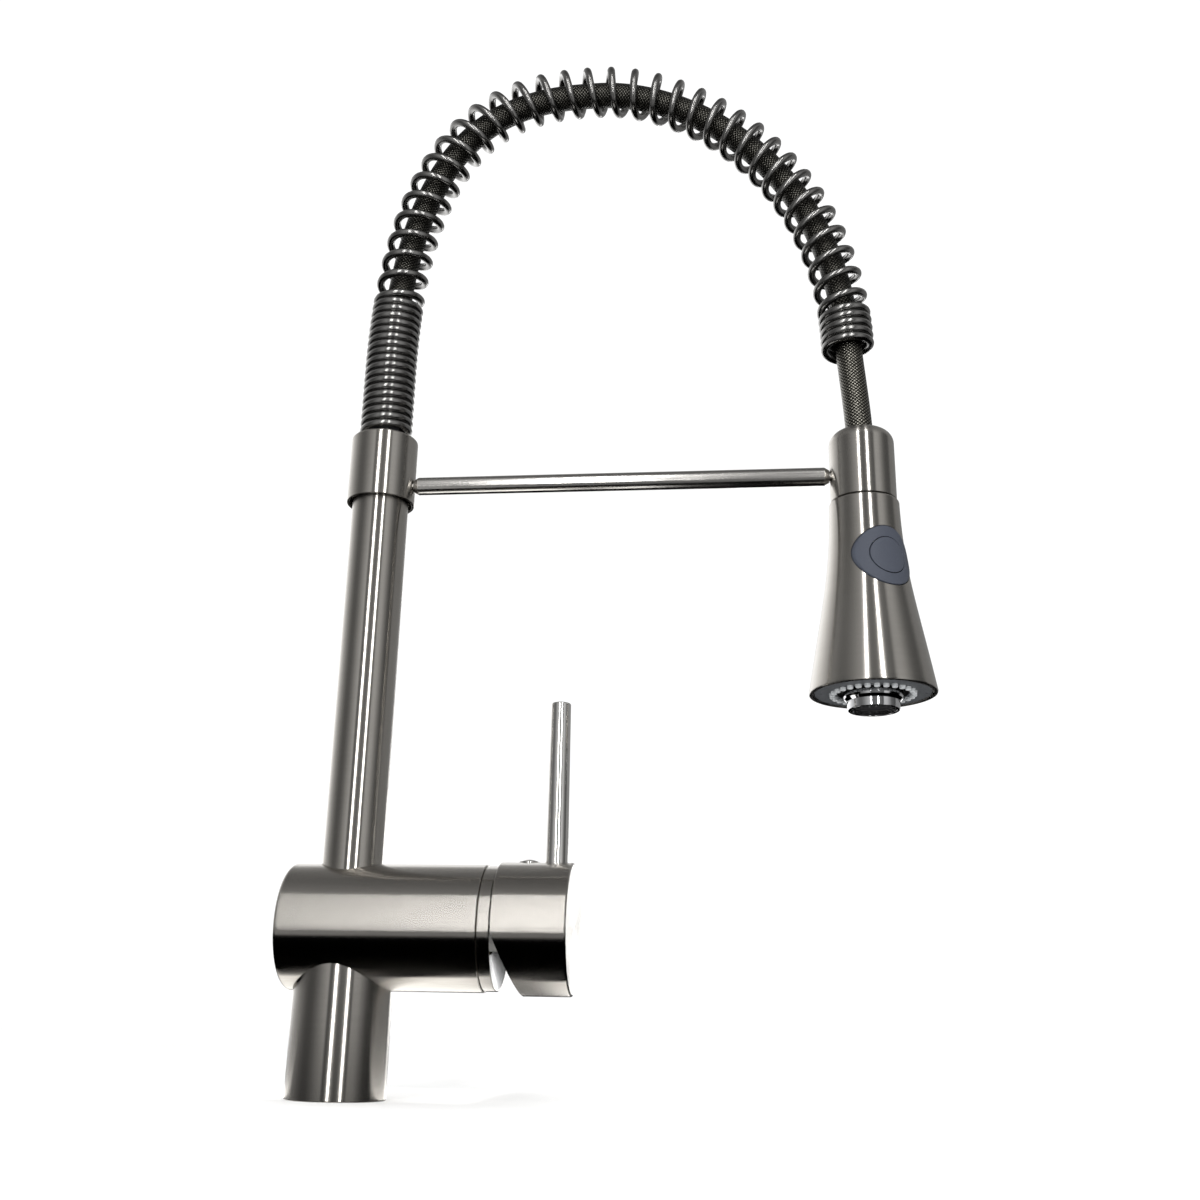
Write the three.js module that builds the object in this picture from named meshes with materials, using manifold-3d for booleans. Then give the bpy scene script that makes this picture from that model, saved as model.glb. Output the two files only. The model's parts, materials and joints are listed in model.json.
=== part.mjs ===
// A pull-down kitchen faucet with a coil-spring arch: a base column, a horizontal mixer barrel with a
// joystick handle, a riser, a swinging collar with an arm and a docking ring, and a trumpet spray head
// on a braided hose. Millimetres, +Z up, origin on the deck under the middle of the base column,
// +X towards the spray head.

import * as THREE from 'three';
import { mergeVertices } from 'three/addons/utils/BufferGeometryUtils.js';
import Module from 'manifold-3d';

const wasm = await Module();
wasm.setup();

// ---------------------------------------------------------------- driving dimensions

const GAP = 0.3;                 // clearance between pieces that touch
const CUT = 1;                   // how far a cutter runs past the face that it opens
const ROUND = 24;                // sides of a large turned piece
const SMALL_ROUND = 16;          // sides of a small turned piece

const BASE_RADIUS = 23;
const BASE_BORE = 20.5;
const BARREL_HEIGHT = 77;        // mixer axis above the deck
const BARREL_RADIUS = 29.2;
const BARREL_BORE = 26.4;
const BARREL_LEFT = -27;
const BARREL_RIGHT = 67;
const TRIM_RIGHT = 73;
const CAP_RADIUS = 30.4;
const CAP_LEFT = 73.6;
const CAP_RIGHT = 108;
const CAP_SLANT = THREE.MathUtils.degToRad(23.5);
const CAP_SLANT_DROP = 3.5;      // the slant starts this far below the mixer axis
const LEVER_PIVOT = 71;          // along the mixer axis
const LEVER_ALONG = 99;          // where the lever rod stands along the mixer axis
const LEVER_TOP = 185;
const SCREW_ALONG = 86;          // where the handle screw and its plug stand

const RISER_RADIUS = 14.5;
const RISER_BORE = 13;
const COLLAR_RADIUS = 17.5;
const COLLAR_BORE = 16.3;
const COLLAR_BOTTOM = 293;
const COLLAR_TOP = 329.5;
const ARM_HEIGHT = 303;
const ARM_RADIUS = 4.75;

const REACH = 250.5;             // riser axis to spray axis
const HOLDER_RADIUS = 16.5;
const HOLDER_BORE = 13.5;
const HOLDER_BOTTOM = 288;
const HOLDER_TOP = 326.5;

const WIRE_RADIUS = 2.15;
const COIL_RADIUS = 11.95;       // spring axis to wire centre
const CLOSED_PITCH = 4.33;
const CLOSED_COILS_LEFT = 18.7;
const CLOSED_COILS_RIGHT = 5;
const OPEN_COILS = 32.5;
const LEG_TOP = 370;             // where the straight left leg of the arch ends
const APEX = { x: 110.8, z: 548.3 };
const ARCH_END = { x: 246, z: 373 };
const HANDLES = { leg: 174, rise: 40, fall: 54, end: 115 };   // how far each bend reaches straight on

const HOSE_RADIUS = 7;
const HOSE_SAG = 1.5;            // how far the hose lies below the spring's centre at the apex
const HOSE_START = 121.4;
const TAIL_TOP = 391.7;          // where the hose leaves the arch and starts to stretch down
const TAIL_BOTTOM = 304;
const TAIL_HANDLES = { top: 26, bottom: 40 };

const SHELL_TOP = 287.5;
const SHELL_WALL = 1.8;
const FACE_BOTTOM = 188.9;
const MOUTH_BOTTOM = 180.4;
const NECK_RADIUS = 10.2;
const NIB_COUNT = 28;
const NIB_RING = 19.4;
const PAD_TURN = THREE.MathUtils.degToRad(27);   // the pad faces this far from the front, towards +X
const PAD_HEIGHT = 253.5;
const PAD_RADIUS = 15.8;
const BUTTON_RADIUS = 9.4;

// ---------------------------------------------------------------- materials

function metal(color, roughness = 0.35) {
  return new THREE.MeshStandardMaterial({ color, roughness, metalness: 1 });
}

function plastic(color, roughness = 0.5) {
  return new THREE.MeshStandardMaterial({ color, roughness, metalness: 0 });
}

const NICKEL = '#8f8c86';
const SPRING_STEEL = '#5f5d5b';
const BRIGHT_STEEL = '#b9b7b2';
const BRAID = '#8d8a80';
const BRASS = '#b08a45';
const RUBBER_BLUE = '#5f6570';
const FACE_GREY = '#6f7275';
const SILICONE = '#b9bcbc';
const BLACK_RUBBER = '#1d1d1e';
const NYLON = '#d9d6cc';
const CERAMIC = '#e8e6e0';

// ---------------------------------------------------------------- shape helpers

// Six times the volume of the tetrahedra under each face: below zero when the faces point inwards.
function pointsInwards(positions, corners) {
  let volume = 0;
  const [a, b, c] = [new THREE.Vector3(), new THREE.Vector3(), new THREE.Vector3()];
  for (let i = 0; i < corners.length; i += 3) {
    a.fromArray(positions, corners[i] * 3);
    b.fromArray(positions, corners[i + 1] * 3);
    c.fromArray(positions, corners[i + 2] * 3);
    volume += a.dot(b.cross(c));
  }
  return volume < 0;
}

// Turns a closed three.js geometry into a manifold solid, dropping the slivers that merging leaves.
function toSolid(geometry) {
  const plain = geometry.clone();
  plain.deleteAttribute('normal');
  plain.deleteAttribute('uv');
  const merged = mergeVertices(plain, 1e-4);
  const positions = new Float32Array(merged.attributes.position.array);
  const index = merged.index.array;
  const corners = [];
  for (let i = 0; i < index.length; i += 3) {
    const [a, b, c] = [index[i], index[i + 1], index[i + 2]];
    if (a !== b && b !== c && c !== a) corners.push(a, b, c);
  }
  if (pointsInwards(positions, corners)) corners.reverse();
  return new wasm.Manifold(new wasm.Mesh({
    numProp: 3,
    vertProperties: positions,
    triVerts: new Uint32Array(corners),
  }));
}

function toGeometry(solid) {
  const mesh = solid.getMesh();
  const geometry = new THREE.BufferGeometry();
  geometry.setAttribute('position', new THREE.BufferAttribute(new Float32Array(mesh.vertProperties), 3));
  geometry.setIndex(new THREE.BufferAttribute(new Uint32Array(mesh.triVerts), 1));
  geometry.computeVertexNormals();
  return geometry;
}

// A solid of revolution about Z from a closed outline of [radius, height] points.
function turned(outline, sides = ROUND) {
  const closed = [...outline, outline[0]];
  const geometry = new THREE.LatheGeometry(closed.map(([r, z]) => new THREE.Vector2(r, -z)), sides);
  geometry.rotateX(-Math.PI / 2);
  return toSolid(geometry);
}

// A plain round bar along Z, and the same bar along X or Y.
function bar(radius, low, high, { x = 0, y = 0, sides = SMALL_ROUND } = {}) {
  const geometry = new THREE.CylinderGeometry(radius, radius, high - low, sides);
  geometry.rotateX(Math.PI / 2);
  geometry.translate(x, y, (low + high) / 2);
  return toSolid(geometry);
}

function barAlongX(radius, low, high, { y = 0, z = 0, sides = SMALL_ROUND } = {}) {
  const geometry = new THREE.CylinderGeometry(radius, radius, high - low, sides);
  geometry.rotateZ(Math.PI / 2);
  geometry.translate((low + high) / 2, y, z);
  return toSolid(geometry);
}

function barAlongY(radius, low, high, { x = 0, z = 0, sides = SMALL_ROUND } = {}) {
  const geometry = new THREE.CylinderGeometry(radius, radius, high - low, sides);
  geometry.translate(x, (low + high) / 2, z);
  return toSolid(geometry);
}

function block(min, max) {
  const size = max.map((value, i) => value - min[i]);
  const geometry = new THREE.BoxGeometry(...size);
  geometry.translate(...min.map((value, i) => value + size[i] / 2));
  return toSolid(geometry);
}

// A tube or sleeve with square ends.
function sleeve(inner, outer, low, high, sides = SMALL_ROUND) {
  return turned([[inner, low], [outer, low], [outer, high], [inner, high]], sides);
}

// Points of a quarter-round corner from one angle to another, in degrees.
function corner(r, z, radius, from, to, steps = 3) {
  const points = [];
  for (let i = 0; i <= steps; i += 1) {
    const angle = THREE.MathUtils.degToRad(from + (to - from) * i / steps);
    points.push([r + radius * Math.cos(angle), z + radius * Math.sin(angle)]);
  }
  return points;
}

// A round bar swept along a curve.
function swept(curve, radius, sides, steps) {
  const section = new THREE.Shape();
  for (let i = 0; i < sides; i += 1) {
    const angle = 2 * Math.PI * i / sides;
    const point = [radius * Math.cos(angle), radius * Math.sin(angle)];
    if (i === 0) section.moveTo(...point);
    else section.lineTo(...point);
  }
  section.closePath();
  return toSolid(new THREE.ExtrudeGeometry(section, { steps, extrudePath: curve, bevelEnabled: false }));
}

// ---------------------------------------------------------------- assembly

const faucet = new THREE.Group();

function add(group, name, solid, material) {
  const mesh = new THREE.Mesh(toGeometry(solid), material);
  mesh.name = name;
  group.add(mesh);
}

// ---------------------------------------------------------------- base on the deck

const INLET = { x: 8.5, y: 5, radius: 5, bore: 3.2 };
const STUB_BOTTOM = 37;          // the valve body's inlet stubs end this far above the deck

function baseColumn() {
  const top = 66;
  return turned([
    [BASE_BORE, 0], [BASE_RADIUS - 0.6, 0], [BASE_RADIUS, 0.6], [BASE_RADIUS, top], [BASE_BORE, top],
  ]);
}

function baseInsert() {
  const radius = 18.2;
  const thickness = 10;
  const stud = bar(4, -CUT, thickness + CUT, { y: 12.5 });
  const cold = bar(INLET.radius + GAP, -CUT, thickness + CUT, { x: -INLET.x, y: INLET.y });
  const hot = bar(INLET.radius + GAP, -CUT, thickness + CUT, { x: INLET.x, y: -INLET.y });
  return bar(radius, 0, thickness, { sides: ROUND }).subtract(stud).subtract(cold).subtract(hot);
}

function inletTube(side) {
  const place = { x: side * INLET.x, y: -side * INLET.y };
  const outside = bar(INLET.radius, 0, STUB_BOTTOM - GAP, place);
  return outside.subtract(bar(INLET.bore, -CUT, STUB_BOTTOM + CUT, place));
}

add(faucet, 'base_column', baseColumn(), metal(NICKEL));
add(faucet, 'base_seal', sleeve(18.5, 20.2, 0, 3, ROUND), plastic(BLACK_RUBBER, 0.8));
add(faucet, 'base_insert', baseInsert(), metal(BRASS));
add(faucet, 'inlet_tube_cold', inletTube(-1), metal(BRASS));
add(faucet, 'inlet_tube_hot', inletTube(1), metal(BRASS));

// ---------------------------------------------------------------- mixer barrel and cartridge
// The mixer group's own Z runs along the barrel to the right, and its -X points up.

const mixer = new THREE.Group();
mixer.position.set(0, 0, BARREL_HEIGHT);
mixer.rotation.y = Math.PI / 2;
faucet.add(mixer);

const SEAT_FACE = 45;            // the valve body's face under the cartridge
const PORTS = [
  { x: -5, y: 0, radius: 3 },    // mixed water out
  { x: 4, y: 5, radius: 2.6 },   // cold in
  { x: 4, y: -5, radius: 2.6 },  // hot in
];

function cutPorts(solid, low, high, trim = 0) {
  let result = solid;
  for (const { x, y, radius } of PORTS) {
    result = result.subtract(bar(radius - trim, low, high, { x, y, sides: 8 }));
  }
  return result;
}

function mixerBarrel() {
  const edge = 2;
  const endWall = 3;
  const shell = turned([
    [0, BARREL_LEFT],
    ...corner(BARREL_RADIUS - edge, BARREL_LEFT + edge, edge, -90, 0),
    [BARREL_RADIUS, BARREL_RIGHT - 0.4],
    [BARREL_RADIUS - 0.4, BARREL_RIGHT],
    [BARREL_BORE, BARREL_RIGHT],
    [BARREL_BORE, BARREL_LEFT + endWall],
    [0, BARREL_LEFT + endWall],
  ], 28);
  const baseHole = barAlongX(BASE_RADIUS + GAP, 5, 40, { sides: ROUND });
  const riserHole = barAlongX(RISER_RADIUS + GAP, -40, -5, { sides: ROUND });
  return shell.subtract(baseHole).subtract(riserHole);
}

function valveBody() {
  const seatBack = 30;
  const outletTop = -19;
  const outletBore = 4.6;
  const neck = bar(10.2, -16, seatBack + CUT);
  const seat = bar(26, seatBack, SEAT_FACE, { sides: ROUND });
  const outlet = barAlongX(9.5, outletTop, 0);
  const stubLength = BARREL_HEIGHT - STUB_BOTTOM;
  let body = neck.add(seat).add(outlet);
  for (const side of [-1, 1]) {
    body = body.add(barAlongX(INLET.radius, 0, stubLength, { y: -side * INLET.y, z: side * INLET.x }));
  }
  body = body.subtract(barAlongX(outletBore, outletTop - CUT, -3));
  for (const side of [-1, 1]) {
    const place = { y: -side * INLET.y, z: side * INLET.x, sides: 8 };
    body = body.subtract(barAlongX(INLET.bore, 3, stubLength + CUT, place));
  }
  body = body.subtract(bar(PORTS[0].radius, -2, SEAT_FACE + CUT, { ...PORTS[0], sides: 8 }));
  body = body.subtract(bar(PORTS[1].radius, -INLET.x - 2, SEAT_FACE + CUT, { ...PORTS[1], sides: 8 }));
  return body.subtract(bar(PORTS[2].radius, INLET.x - 2, SEAT_FACE + CUT, { ...PORTS[2], sides: 8 }));
}

function movingDisc() {
  const pocket = bar(7, 52, 54.9);
  return bar(12.5, 53.6, 56).subtract(pocket);
}

function cartridgeHousing() {
  return turned([[15, 50.3], [17.5, 50.3], [17.5, 62], [11, 62], [11, 59], [15, 59]], SMALL_ROUND);
}

function cartridgeNut() {
  return turned([[17.9, 53], [26, 53], [26, 66.7], [12, 66.7], [12, 62.3], [17.9, 62.3]]);
}

function trimRing() {
  const outer = 28.6;
  return turned([
    [12.2, 67.3], [outer - 0.4, 67.3], [outer, 67.7],
    [outer, TRIM_RIGHT - 0.5], [outer - 0.5, TRIM_RIGHT], [12.2, TRIM_RIGHT],
  ], 28);
}

// The rotor's slot lets the stem rock, and its cross hole takes the pin that the stem rocks on.
function cartridgeRotor() {
  const flange = { radius: 14, back: 56.3, top: 58.6 };
  const neck = { radius: 10.5, top: 75 };
  const rotor = turned([
    [0, flange.back], [flange.radius, flange.back], [flange.radius, flange.top],
    [neck.radius, flange.top], [neck.radius, neck.top], [0, neck.top],
  ], SMALL_ROUND);
  const slot = block([-9, -4.3, flange.back - CUT], [9, 4.3, neck.top + CUT]);
  return rotor.subtract(slot).subtract(barAlongY(1.8, -12, 12, { z: LEVER_PIVOT, sides: 8 }));
}

function cartridgeStem() {
  const stem = block([-3.5, -4, 59.5], [3.5, 4, 98]);
  return stem.subtract(barAlongY(1.8, -6, 6, { z: LEVER_PIVOT, sides: 8 }));
}

add(mixer, 'mixer_barrel', mixerBarrel(), metal(NICKEL));
add(mixer, 'valve_body', valveBody(), metal(BRASS));
add(mixer, 'cartridge_seal', cutPorts(bar(16.5, 45.3, 46.3), 44, 47), plastic(BLACK_RUBBER, 0.8));
add(mixer, 'cartridge_base', cutPorts(bar(17.2, 46.6, 50), 46, 51), plastic(NYLON));
add(mixer, 'ceramic_disc_fixed', cutPorts(bar(14.6, 50.3, 53.3), 50, 54), plastic(CERAMIC, 0.2));
add(mixer, 'ceramic_disc_moving', movingDisc(), plastic(CERAMIC, 0.2));
add(mixer, 'cartridge_housing', cartridgeHousing(), plastic(NYLON));
add(mixer, 'cartridge_nut', cartridgeNut(), metal(BRASS));
add(mixer, 'trim_ring', trimRing(), metal(NICKEL));
add(mixer, 'cartridge_rotor', cartridgeRotor(), plastic(NYLON));
add(mixer, 'pivot_pin', barAlongY(1.5, -10.1, 10.1, { z: LEVER_PIVOT, sides: 8 }), metal(BRIGHT_STEEL));
add(mixer, 'cartridge_stem', cartridgeStem(), metal(BRASS));

// ---------------------------------------------------------------- handle

const CAP_SOLID = 92;            // the cap is solid from here to its end
const ROD_BOTTOM = 22;           // rod's lower end, measured from the mixer axis

// The lower half of the cap's open edge slants away, so that the handle can rock outwards.
function slantCutter() {
  const bottom = 40;
  const width = 80;
  const left = CAP_LEFT - 5;
  const outline = new THREE.Shape();
  outline.moveTo(CAP_SLANT_DROP, left);
  outline.lineTo(CAP_SLANT_DROP, CAP_LEFT);
  outline.lineTo(bottom, CAP_LEFT + (bottom - CAP_SLANT_DROP) * Math.tan(CAP_SLANT));
  outline.lineTo(bottom, left);
  outline.closePath();
  const geometry = new THREE.ExtrudeGeometry(outline, { depth: width, bevelEnabled: false });
  geometry.translate(0, 0, -width / 2);
  geometry.rotateX(Math.PI / 2);
  return toSolid(geometry);
}

function handleCap() {
  const edge = 1.2;
  const cavity = 27.8;
  const mouth = { radius: 28.9, end: 82 };   // wide enough to rock over the trim ring
  const boss = 8.5;
  const bossStart = 81;
  const cup = turned([
    [0, bossStart], [boss, bossStart], [boss, CAP_SOLID], [cavity, CAP_SOLID],
    [cavity, mouth.end], [mouth.radius, mouth.end], [mouth.radius, CAP_LEFT],
    [CAP_RADIUS - 0.4, CAP_LEFT], [CAP_RADIUS, CAP_LEFT + 0.4],
    ...corner(CAP_RADIUS - edge, CAP_RIGHT - edge, edge, 0, 90, 2),
    [0, CAP_RIGHT],
  ], 28);
  const socket = block([-3.8, -4.3, bossStart - CUT], [3.8, 4.3, 98.4]);
  const screwHole = barAlongX(2.3, -12, -3, { z: SCREW_ALONG, sides: 16 });
  const plugHole = barAlongX(4.3, -32, -25, { z: SCREW_ALONG });
  const rodHole = barAlongX(5.8, -32, -ROD_BOTTOM + GAP, { z: LEVER_ALONG });
  const cutters = [slantCutter(), socket, screwHole, plugHole, rodHole];
  return cutters.reduce((cap, cutter) => cap.subtract(cutter), cup);
}

// A turned piece standing on the cap, pointing up from the mixer axis.
function standing(outline, along, sides = SMALL_ROUND) {
  const geometry = toGeometry(turned(outline, sides));
  geometry.rotateY(-Math.PI / 2);
  geometry.translate(0, 0, along);
  return toSolid(geometry);
}

function leverRod() {
  const top = LEVER_TOP - BARREL_HEIGHT;
  return standing([
    [0, ROD_BOTTOM], [5.45, ROD_BOTTOM], [5.45, 31], [4.95, top - 0.7], [4.25, top], [0, top],
  ], LEVER_ALONG);
}

function indexPlug() {
  const under = CAP_RADIUS + GAP;
  return standing([
    [0, 27.5], [4, 27.5], [4, under], [4.75, under], [4.75, under + 0.4], [3.6, under + 1], [0, under + 1.2],
  ], SCREW_ALONG);
}

function handleScrew() {
  const socket = { low: 7.4, high: 9.6 };
  const screw = standing([[0, 3.9], [2, 3.9], [2, socket.high], [0, socket.high]], SCREW_ALONG, 16);
  return screw.subtract(standing([[0, socket.low], [1.1, socket.low], [1.1, 11], [0, 11]], SCREW_ALONG, 6));
}

add(mixer, 'handle_cap', handleCap(), metal(NICKEL));
add(mixer, 'lever_rod', leverRod(), metal(BRIGHT_STEEL, 0.2));
add(mixer, 'handle_screw', handleScrew(), metal(BRIGHT_STEEL));
add(mixer, 'index_plug', indexPlug(), metal(BRIGHT_STEEL, 0.3));

// ---------------------------------------------------------------- riser

function outletNipple() {
  return turned([
    [2.6, 88], [4.2, 88], [4.2, 96.3], [8.5, 96.3], [8.5, 101], [4.2, 101], [4.2, 120], [2.6, 120],
  ], SMALL_ROUND);
}

add(faucet, 'outlet_nipple', outletNipple(), metal(BRASS));
add(faucet, 'riser_tube', sleeve(RISER_BORE, RISER_RADIUS, 98, 323.4, ROUND), metal(NICKEL));

// ---------------------------------------------------------------- swinging collar, arm and docking ring

const ARM_STUB = 2.5;

function dockingCollar() {
  const edge = 3;
  const roof = 324;
  const hoseHole = HOSE_RADIUS + 0.6;
  const sleeveBody = turned([
    [COLLAR_BORE, COLLAR_BOTTOM], [COLLAR_RADIUS - 0.3, COLLAR_BOTTOM], [COLLAR_RADIUS, COLLAR_BOTTOM + 0.3],
    ...corner(COLLAR_RADIUS - edge, COLLAR_TOP - edge, edge, 0, 90),
    [hoseHole, COLLAR_TOP], [hoseHole, roof], [COLLAR_BORE, roof],
  ]);
  return sleeveBody.subtract(barAlongX(ARM_STUB + GAP, 12, 20, { z: ARM_HEIGHT, sides: 16 }));
}

function arm() {
  const left = COLLAR_RADIUS + GAP;
  const right = REACH - HOLDER_RADIUS - GAP;
  const neck = 3.3;
  const taper = 2.4;
  const geometry = toGeometry(turned([
    [0, left - 1], [ARM_STUB, left - 1], [ARM_STUB, left], [neck, left], [ARM_RADIUS, left + taper],
    [ARM_RADIUS, right - taper], [neck, right], [ARM_STUB, right], [ARM_STUB, right + 2.5], [0, right + 2.5],
  ], 20));
  geometry.rotateY(Math.PI / 2);
  geometry.translate(0, 0, ARM_HEIGHT);
  return toSolid(geometry);
}

function holderRing() {
  const edge = 7;
  const hoseHole = 8.5;
  const roof = 318;
  const sleeveBody = turned([
    [HOLDER_BORE, HOLDER_BOTTOM], [HOLDER_RADIUS - 0.3, HOLDER_BOTTOM], [HOLDER_RADIUS, HOLDER_BOTTOM + 0.3],
    ...corner(HOLDER_RADIUS - edge, HOLDER_TOP - edge, edge, 0, 90, 4),
    [hoseHole, HOLDER_TOP], [hoseHole, roof], [HOLDER_BORE, roof],
  ]);
  return sleeveBody.subtract(barAlongX(ARM_STUB + GAP, -18, -12, { z: ARM_HEIGHT, sides: 16 }));
}

const dock = new THREE.Group();
dock.position.x = REACH;
faucet.add(dock);

add(faucet, 'docking_collar', dockingCollar(), metal(NICKEL));
add(faucet, 'collar_bush', sleeve(RISER_RADIUS + GAP, COLLAR_BORE - GAP, 306, 323, ROUND), plastic(NYLON));
add(faucet, 'arm_rod', arm(), metal(BRIGHT_STEEL, 0.25));
add(dock, 'holder_ring', holderRing(), metal(NICKEL));
add(dock, 'holder_liner', sleeve(10.6, HOLDER_BORE - GAP, 288.4, 314), plastic(BLACK_RUBBER, 0.6));

// ---------------------------------------------------------------- arch, spring and hose

// Centre line of the arch: a straight leg, then one easy bend up to the apex and one down to the end.
function archCurve() {
  const leg = new THREE.Vector3(0, 0, LEG_TOP);
  const apex = new THREE.Vector3(APEX.x, 0, APEX.z);
  const end = new THREE.Vector3(ARCH_END.x, 0, ARCH_END.z);
  const arch = new THREE.CurvePath();
  arch.add(new THREE.LineCurve3(new THREE.Vector3(0, 0, COLLAR_TOP + GAP), leg));
  const aboveLeg = new THREE.Vector3(0, 0, leg.z + HANDLES.leg);
  const beforeApex = new THREE.Vector3(apex.x - HANDLES.rise, 0, apex.z);
  const afterApex = new THREE.Vector3(apex.x + HANDLES.fall, 0, apex.z);
  const aboveEnd = new THREE.Vector3(end.x, 0, end.z + HANDLES.end);
  arch.add(new THREE.CubicBezierCurve3(leg, aboveLeg, beforeApex, apex));
  arch.add(new THREE.CubicBezierCurve3(apex, afterApex, aboveEnd, end));
  arch.curves.forEach((curve) => { curve.arcLengthDivisions = 400; });
  return arch;
}

// A right-handed helix wound round the arch, closed at both ends and open in between.
class SpringCurve extends THREE.Curve {
  constructor(arch) {
    super();
    this.arch = arch;
    this.length = arch.getLength();
    this.start = WIRE_RADIUS;
    this.leftLength = CLOSED_COILS_LEFT * CLOSED_PITCH;
    this.rightLength = CLOSED_COILS_RIGHT * CLOSED_PITCH;
    this.openPitch = (this.length - 2 * this.start - this.leftLength - this.rightLength) / OPEN_COILS;
    this.turns = CLOSED_COILS_LEFT + OPEN_COILS + CLOSED_COILS_RIGHT;
  }

  // Distance along the arch after so many turns of wire.
  distance(turn) {
    const left = Math.min(turn, CLOSED_COILS_LEFT);
    const open = Math.min(Math.max(turn - CLOSED_COILS_LEFT, 0), OPEN_COILS);
    const right = Math.max(turn - CLOSED_COILS_LEFT - OPEN_COILS, 0);
    return this.start + (left + right) * CLOSED_PITCH + open * this.openPitch;
  }

  getPoint(t, target = new THREE.Vector3()) {
    const turn = t * this.turns;
    const along = this.distance(turn) / this.length;
    const centre = this.arch.getPointAt(along);
    const tangent = this.arch.getTangentAt(along);
    const across = new THREE.Vector3(tangent.z, 0, -tangent.x);
    const angle = 2 * Math.PI * turn;
    target.copy(centre).addScaledVector(across, COIL_RADIUS * Math.cos(angle));
    target.y += COIL_RADIUS * Math.sin(angle);
    return target;
  }

  getPointAt(t, target) {
    return this.getPoint(t, target);
  }
}

function springCoil(arch) {
  const stepsPerTurn = 8;
  const wire = new SpringCurve(arch);
  return swept(wire, WIRE_RADIUS, 5, Math.round(wire.turns * stepsPerTurn));
}

// The hose stands in the riser, follows the arch, and rests on the spring's lower side at the apex.
function hoseArch(arch) {
  const points = [new THREE.Vector3(0, 0, HOSE_START), new THREE.Vector3(0, 0, 230)];
  const steps = 24;
  for (let i = 0; i <= steps; i += 1) {
    const point = arch.getPointAt(i / steps);
    const tangent = arch.getTangentAt(i / steps);
    point.z -= HOSE_SAG * tangent.x * tangent.x;
    const isPastTail = point.x > APEX.x && point.z < TAIL_TOP + 10;
    if (!isPastTail) points.push(point);
  }
  points.push(new THREE.Vector3(ARCH_END.x, 0, TAIL_TOP + 5));
  points.push(new THREE.Vector3(ARCH_END.x, 0, TAIL_TOP + GAP));
  return swept(new THREE.CatmullRomCurve3(points, false, 'centripetal'), HOSE_RADIUS, 8, 44);
}

function hoseTail() {
  const curve = new THREE.CubicBezierCurve3(
    new THREE.Vector3(ARCH_END.x, 0, TAIL_TOP), new THREE.Vector3(ARCH_END.x, 0, TAIL_TOP - TAIL_HANDLES.top),
    new THREE.Vector3(REACH, 0, TAIL_BOTTOM + TAIL_HANDLES.bottom), new THREE.Vector3(REACH, 0, TAIL_BOTTOM));
  return swept(curve, HOSE_RADIUS, 8, 10);
}

function inletFerrule() {
  const inner = HOSE_RADIUS + 0.35;
  return turned([
    [4.6, 101.3], [8.6, 101.3], [8.6, 134], [inner, 134], [inner, 121.1], [4.6, 121.1],
  ], SMALL_ROUND);
}

const arch = archCurve();
add(faucet, 'spring_seat', sleeve(HOSE_RADIUS + 0.4, 8.7, COLLAR_TOP + GAP, 345), plastic(BLACK_RUBBER, 0.6));
add(faucet, 'spring_coil', springCoil(arch), metal(SPRING_STEEL, 0.3));
add(faucet, 'hose_arch', hoseArch(arch), metal(BRAID, 0.5));
add(faucet, 'hose_inlet_ferrule', inletFerrule(), metal(BRIGHT_STEEL));
add(faucet, 'hose_tail', hoseTail(), metal(BRAID, 0.5));

// ---------------------------------------------------------------- hose end that the spray head turns on

const SPIGOT = { radius: 6, bottom: 283, top: 296, groove: 287 };

function hoseFerrule() {
  const inner = HOSE_RADIUS + 0.35;
  return turned([
    [3, 300.5], [8.8, 300.5], [8.8, 316], [inner, 316], [inner, 303.7], [3, 303.7],
  ], SMALL_ROUND);
}

function hoseNut() {
  const { radius, bottom, top, groove } = SPIGOT;
  return turned([
    [3, bottom], [radius, bottom], [radius, groove], [4.8, groove], [4.8, groove + 2], [radius, groove + 2],
    [radius, top], [9, top], [9.6, top + 1], [9.6, 300.2], [3, 300.2],
  ], SMALL_ROUND);
}

function swivelRing() {
  const { groove } = SPIGOT;
  return sleeve(5.1, 6.2, groove + GAP, groove + 2 - GAP);
}

add(dock, 'hose_ferrule', hoseFerrule(), metal(BRIGHT_STEEL));
add(dock, 'hose_nut', hoseNut(), metal(BRASS));
add(dock, 'swivel_o_ring', swivelRing(), plastic(BLACK_RUBBER, 0.7));

// ---------------------------------------------------------------- spray head

// Outer radius line of the trumpet from its shoulder down to its rim, moved outwards by an offset.
const trumpet = new THREE.CubicBezierCurve(
  new THREE.Vector2(17.5, SHELL_TOP - 0.8), new THREE.Vector2(18.2, 250),
  new THREE.Vector2(22.6, 236), new THREE.Vector2(30.6, 189.3));

function trumpetLine(offset, steps = 7) {
  return trumpet.getSpacedPoints(steps).map(({ x, y }) => [x + offset, y]);
}

function padCutter(radius) {
  const cutter = toGeometry(barAlongY(radius, -40, 0, { z: PAD_HEIGHT, sides: 24 }));
  cutter.rotateZ(PAD_TURN);
  return toSolid(cutter);
}

function sprayShell() {
  const outside = trumpetLine(0);
  const inside = trumpetLine(-SHELL_WALL).slice(1, -1);
  const shell = turned([
    [NECK_RADIUS + GAP, SHELL_TOP], [16.7, SHELL_TOP], ...outside,
    [30.1, 188.4], [28.6, 188.4], [28.2, 189], [28.2, 192.6],
    ...inside.reverse(), [15.6, 285], [NECK_RADIUS + GAP, 285],
  ], 28);
  return shell.subtract(padCutter(PAD_RADIUS + GAP));
}

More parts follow.
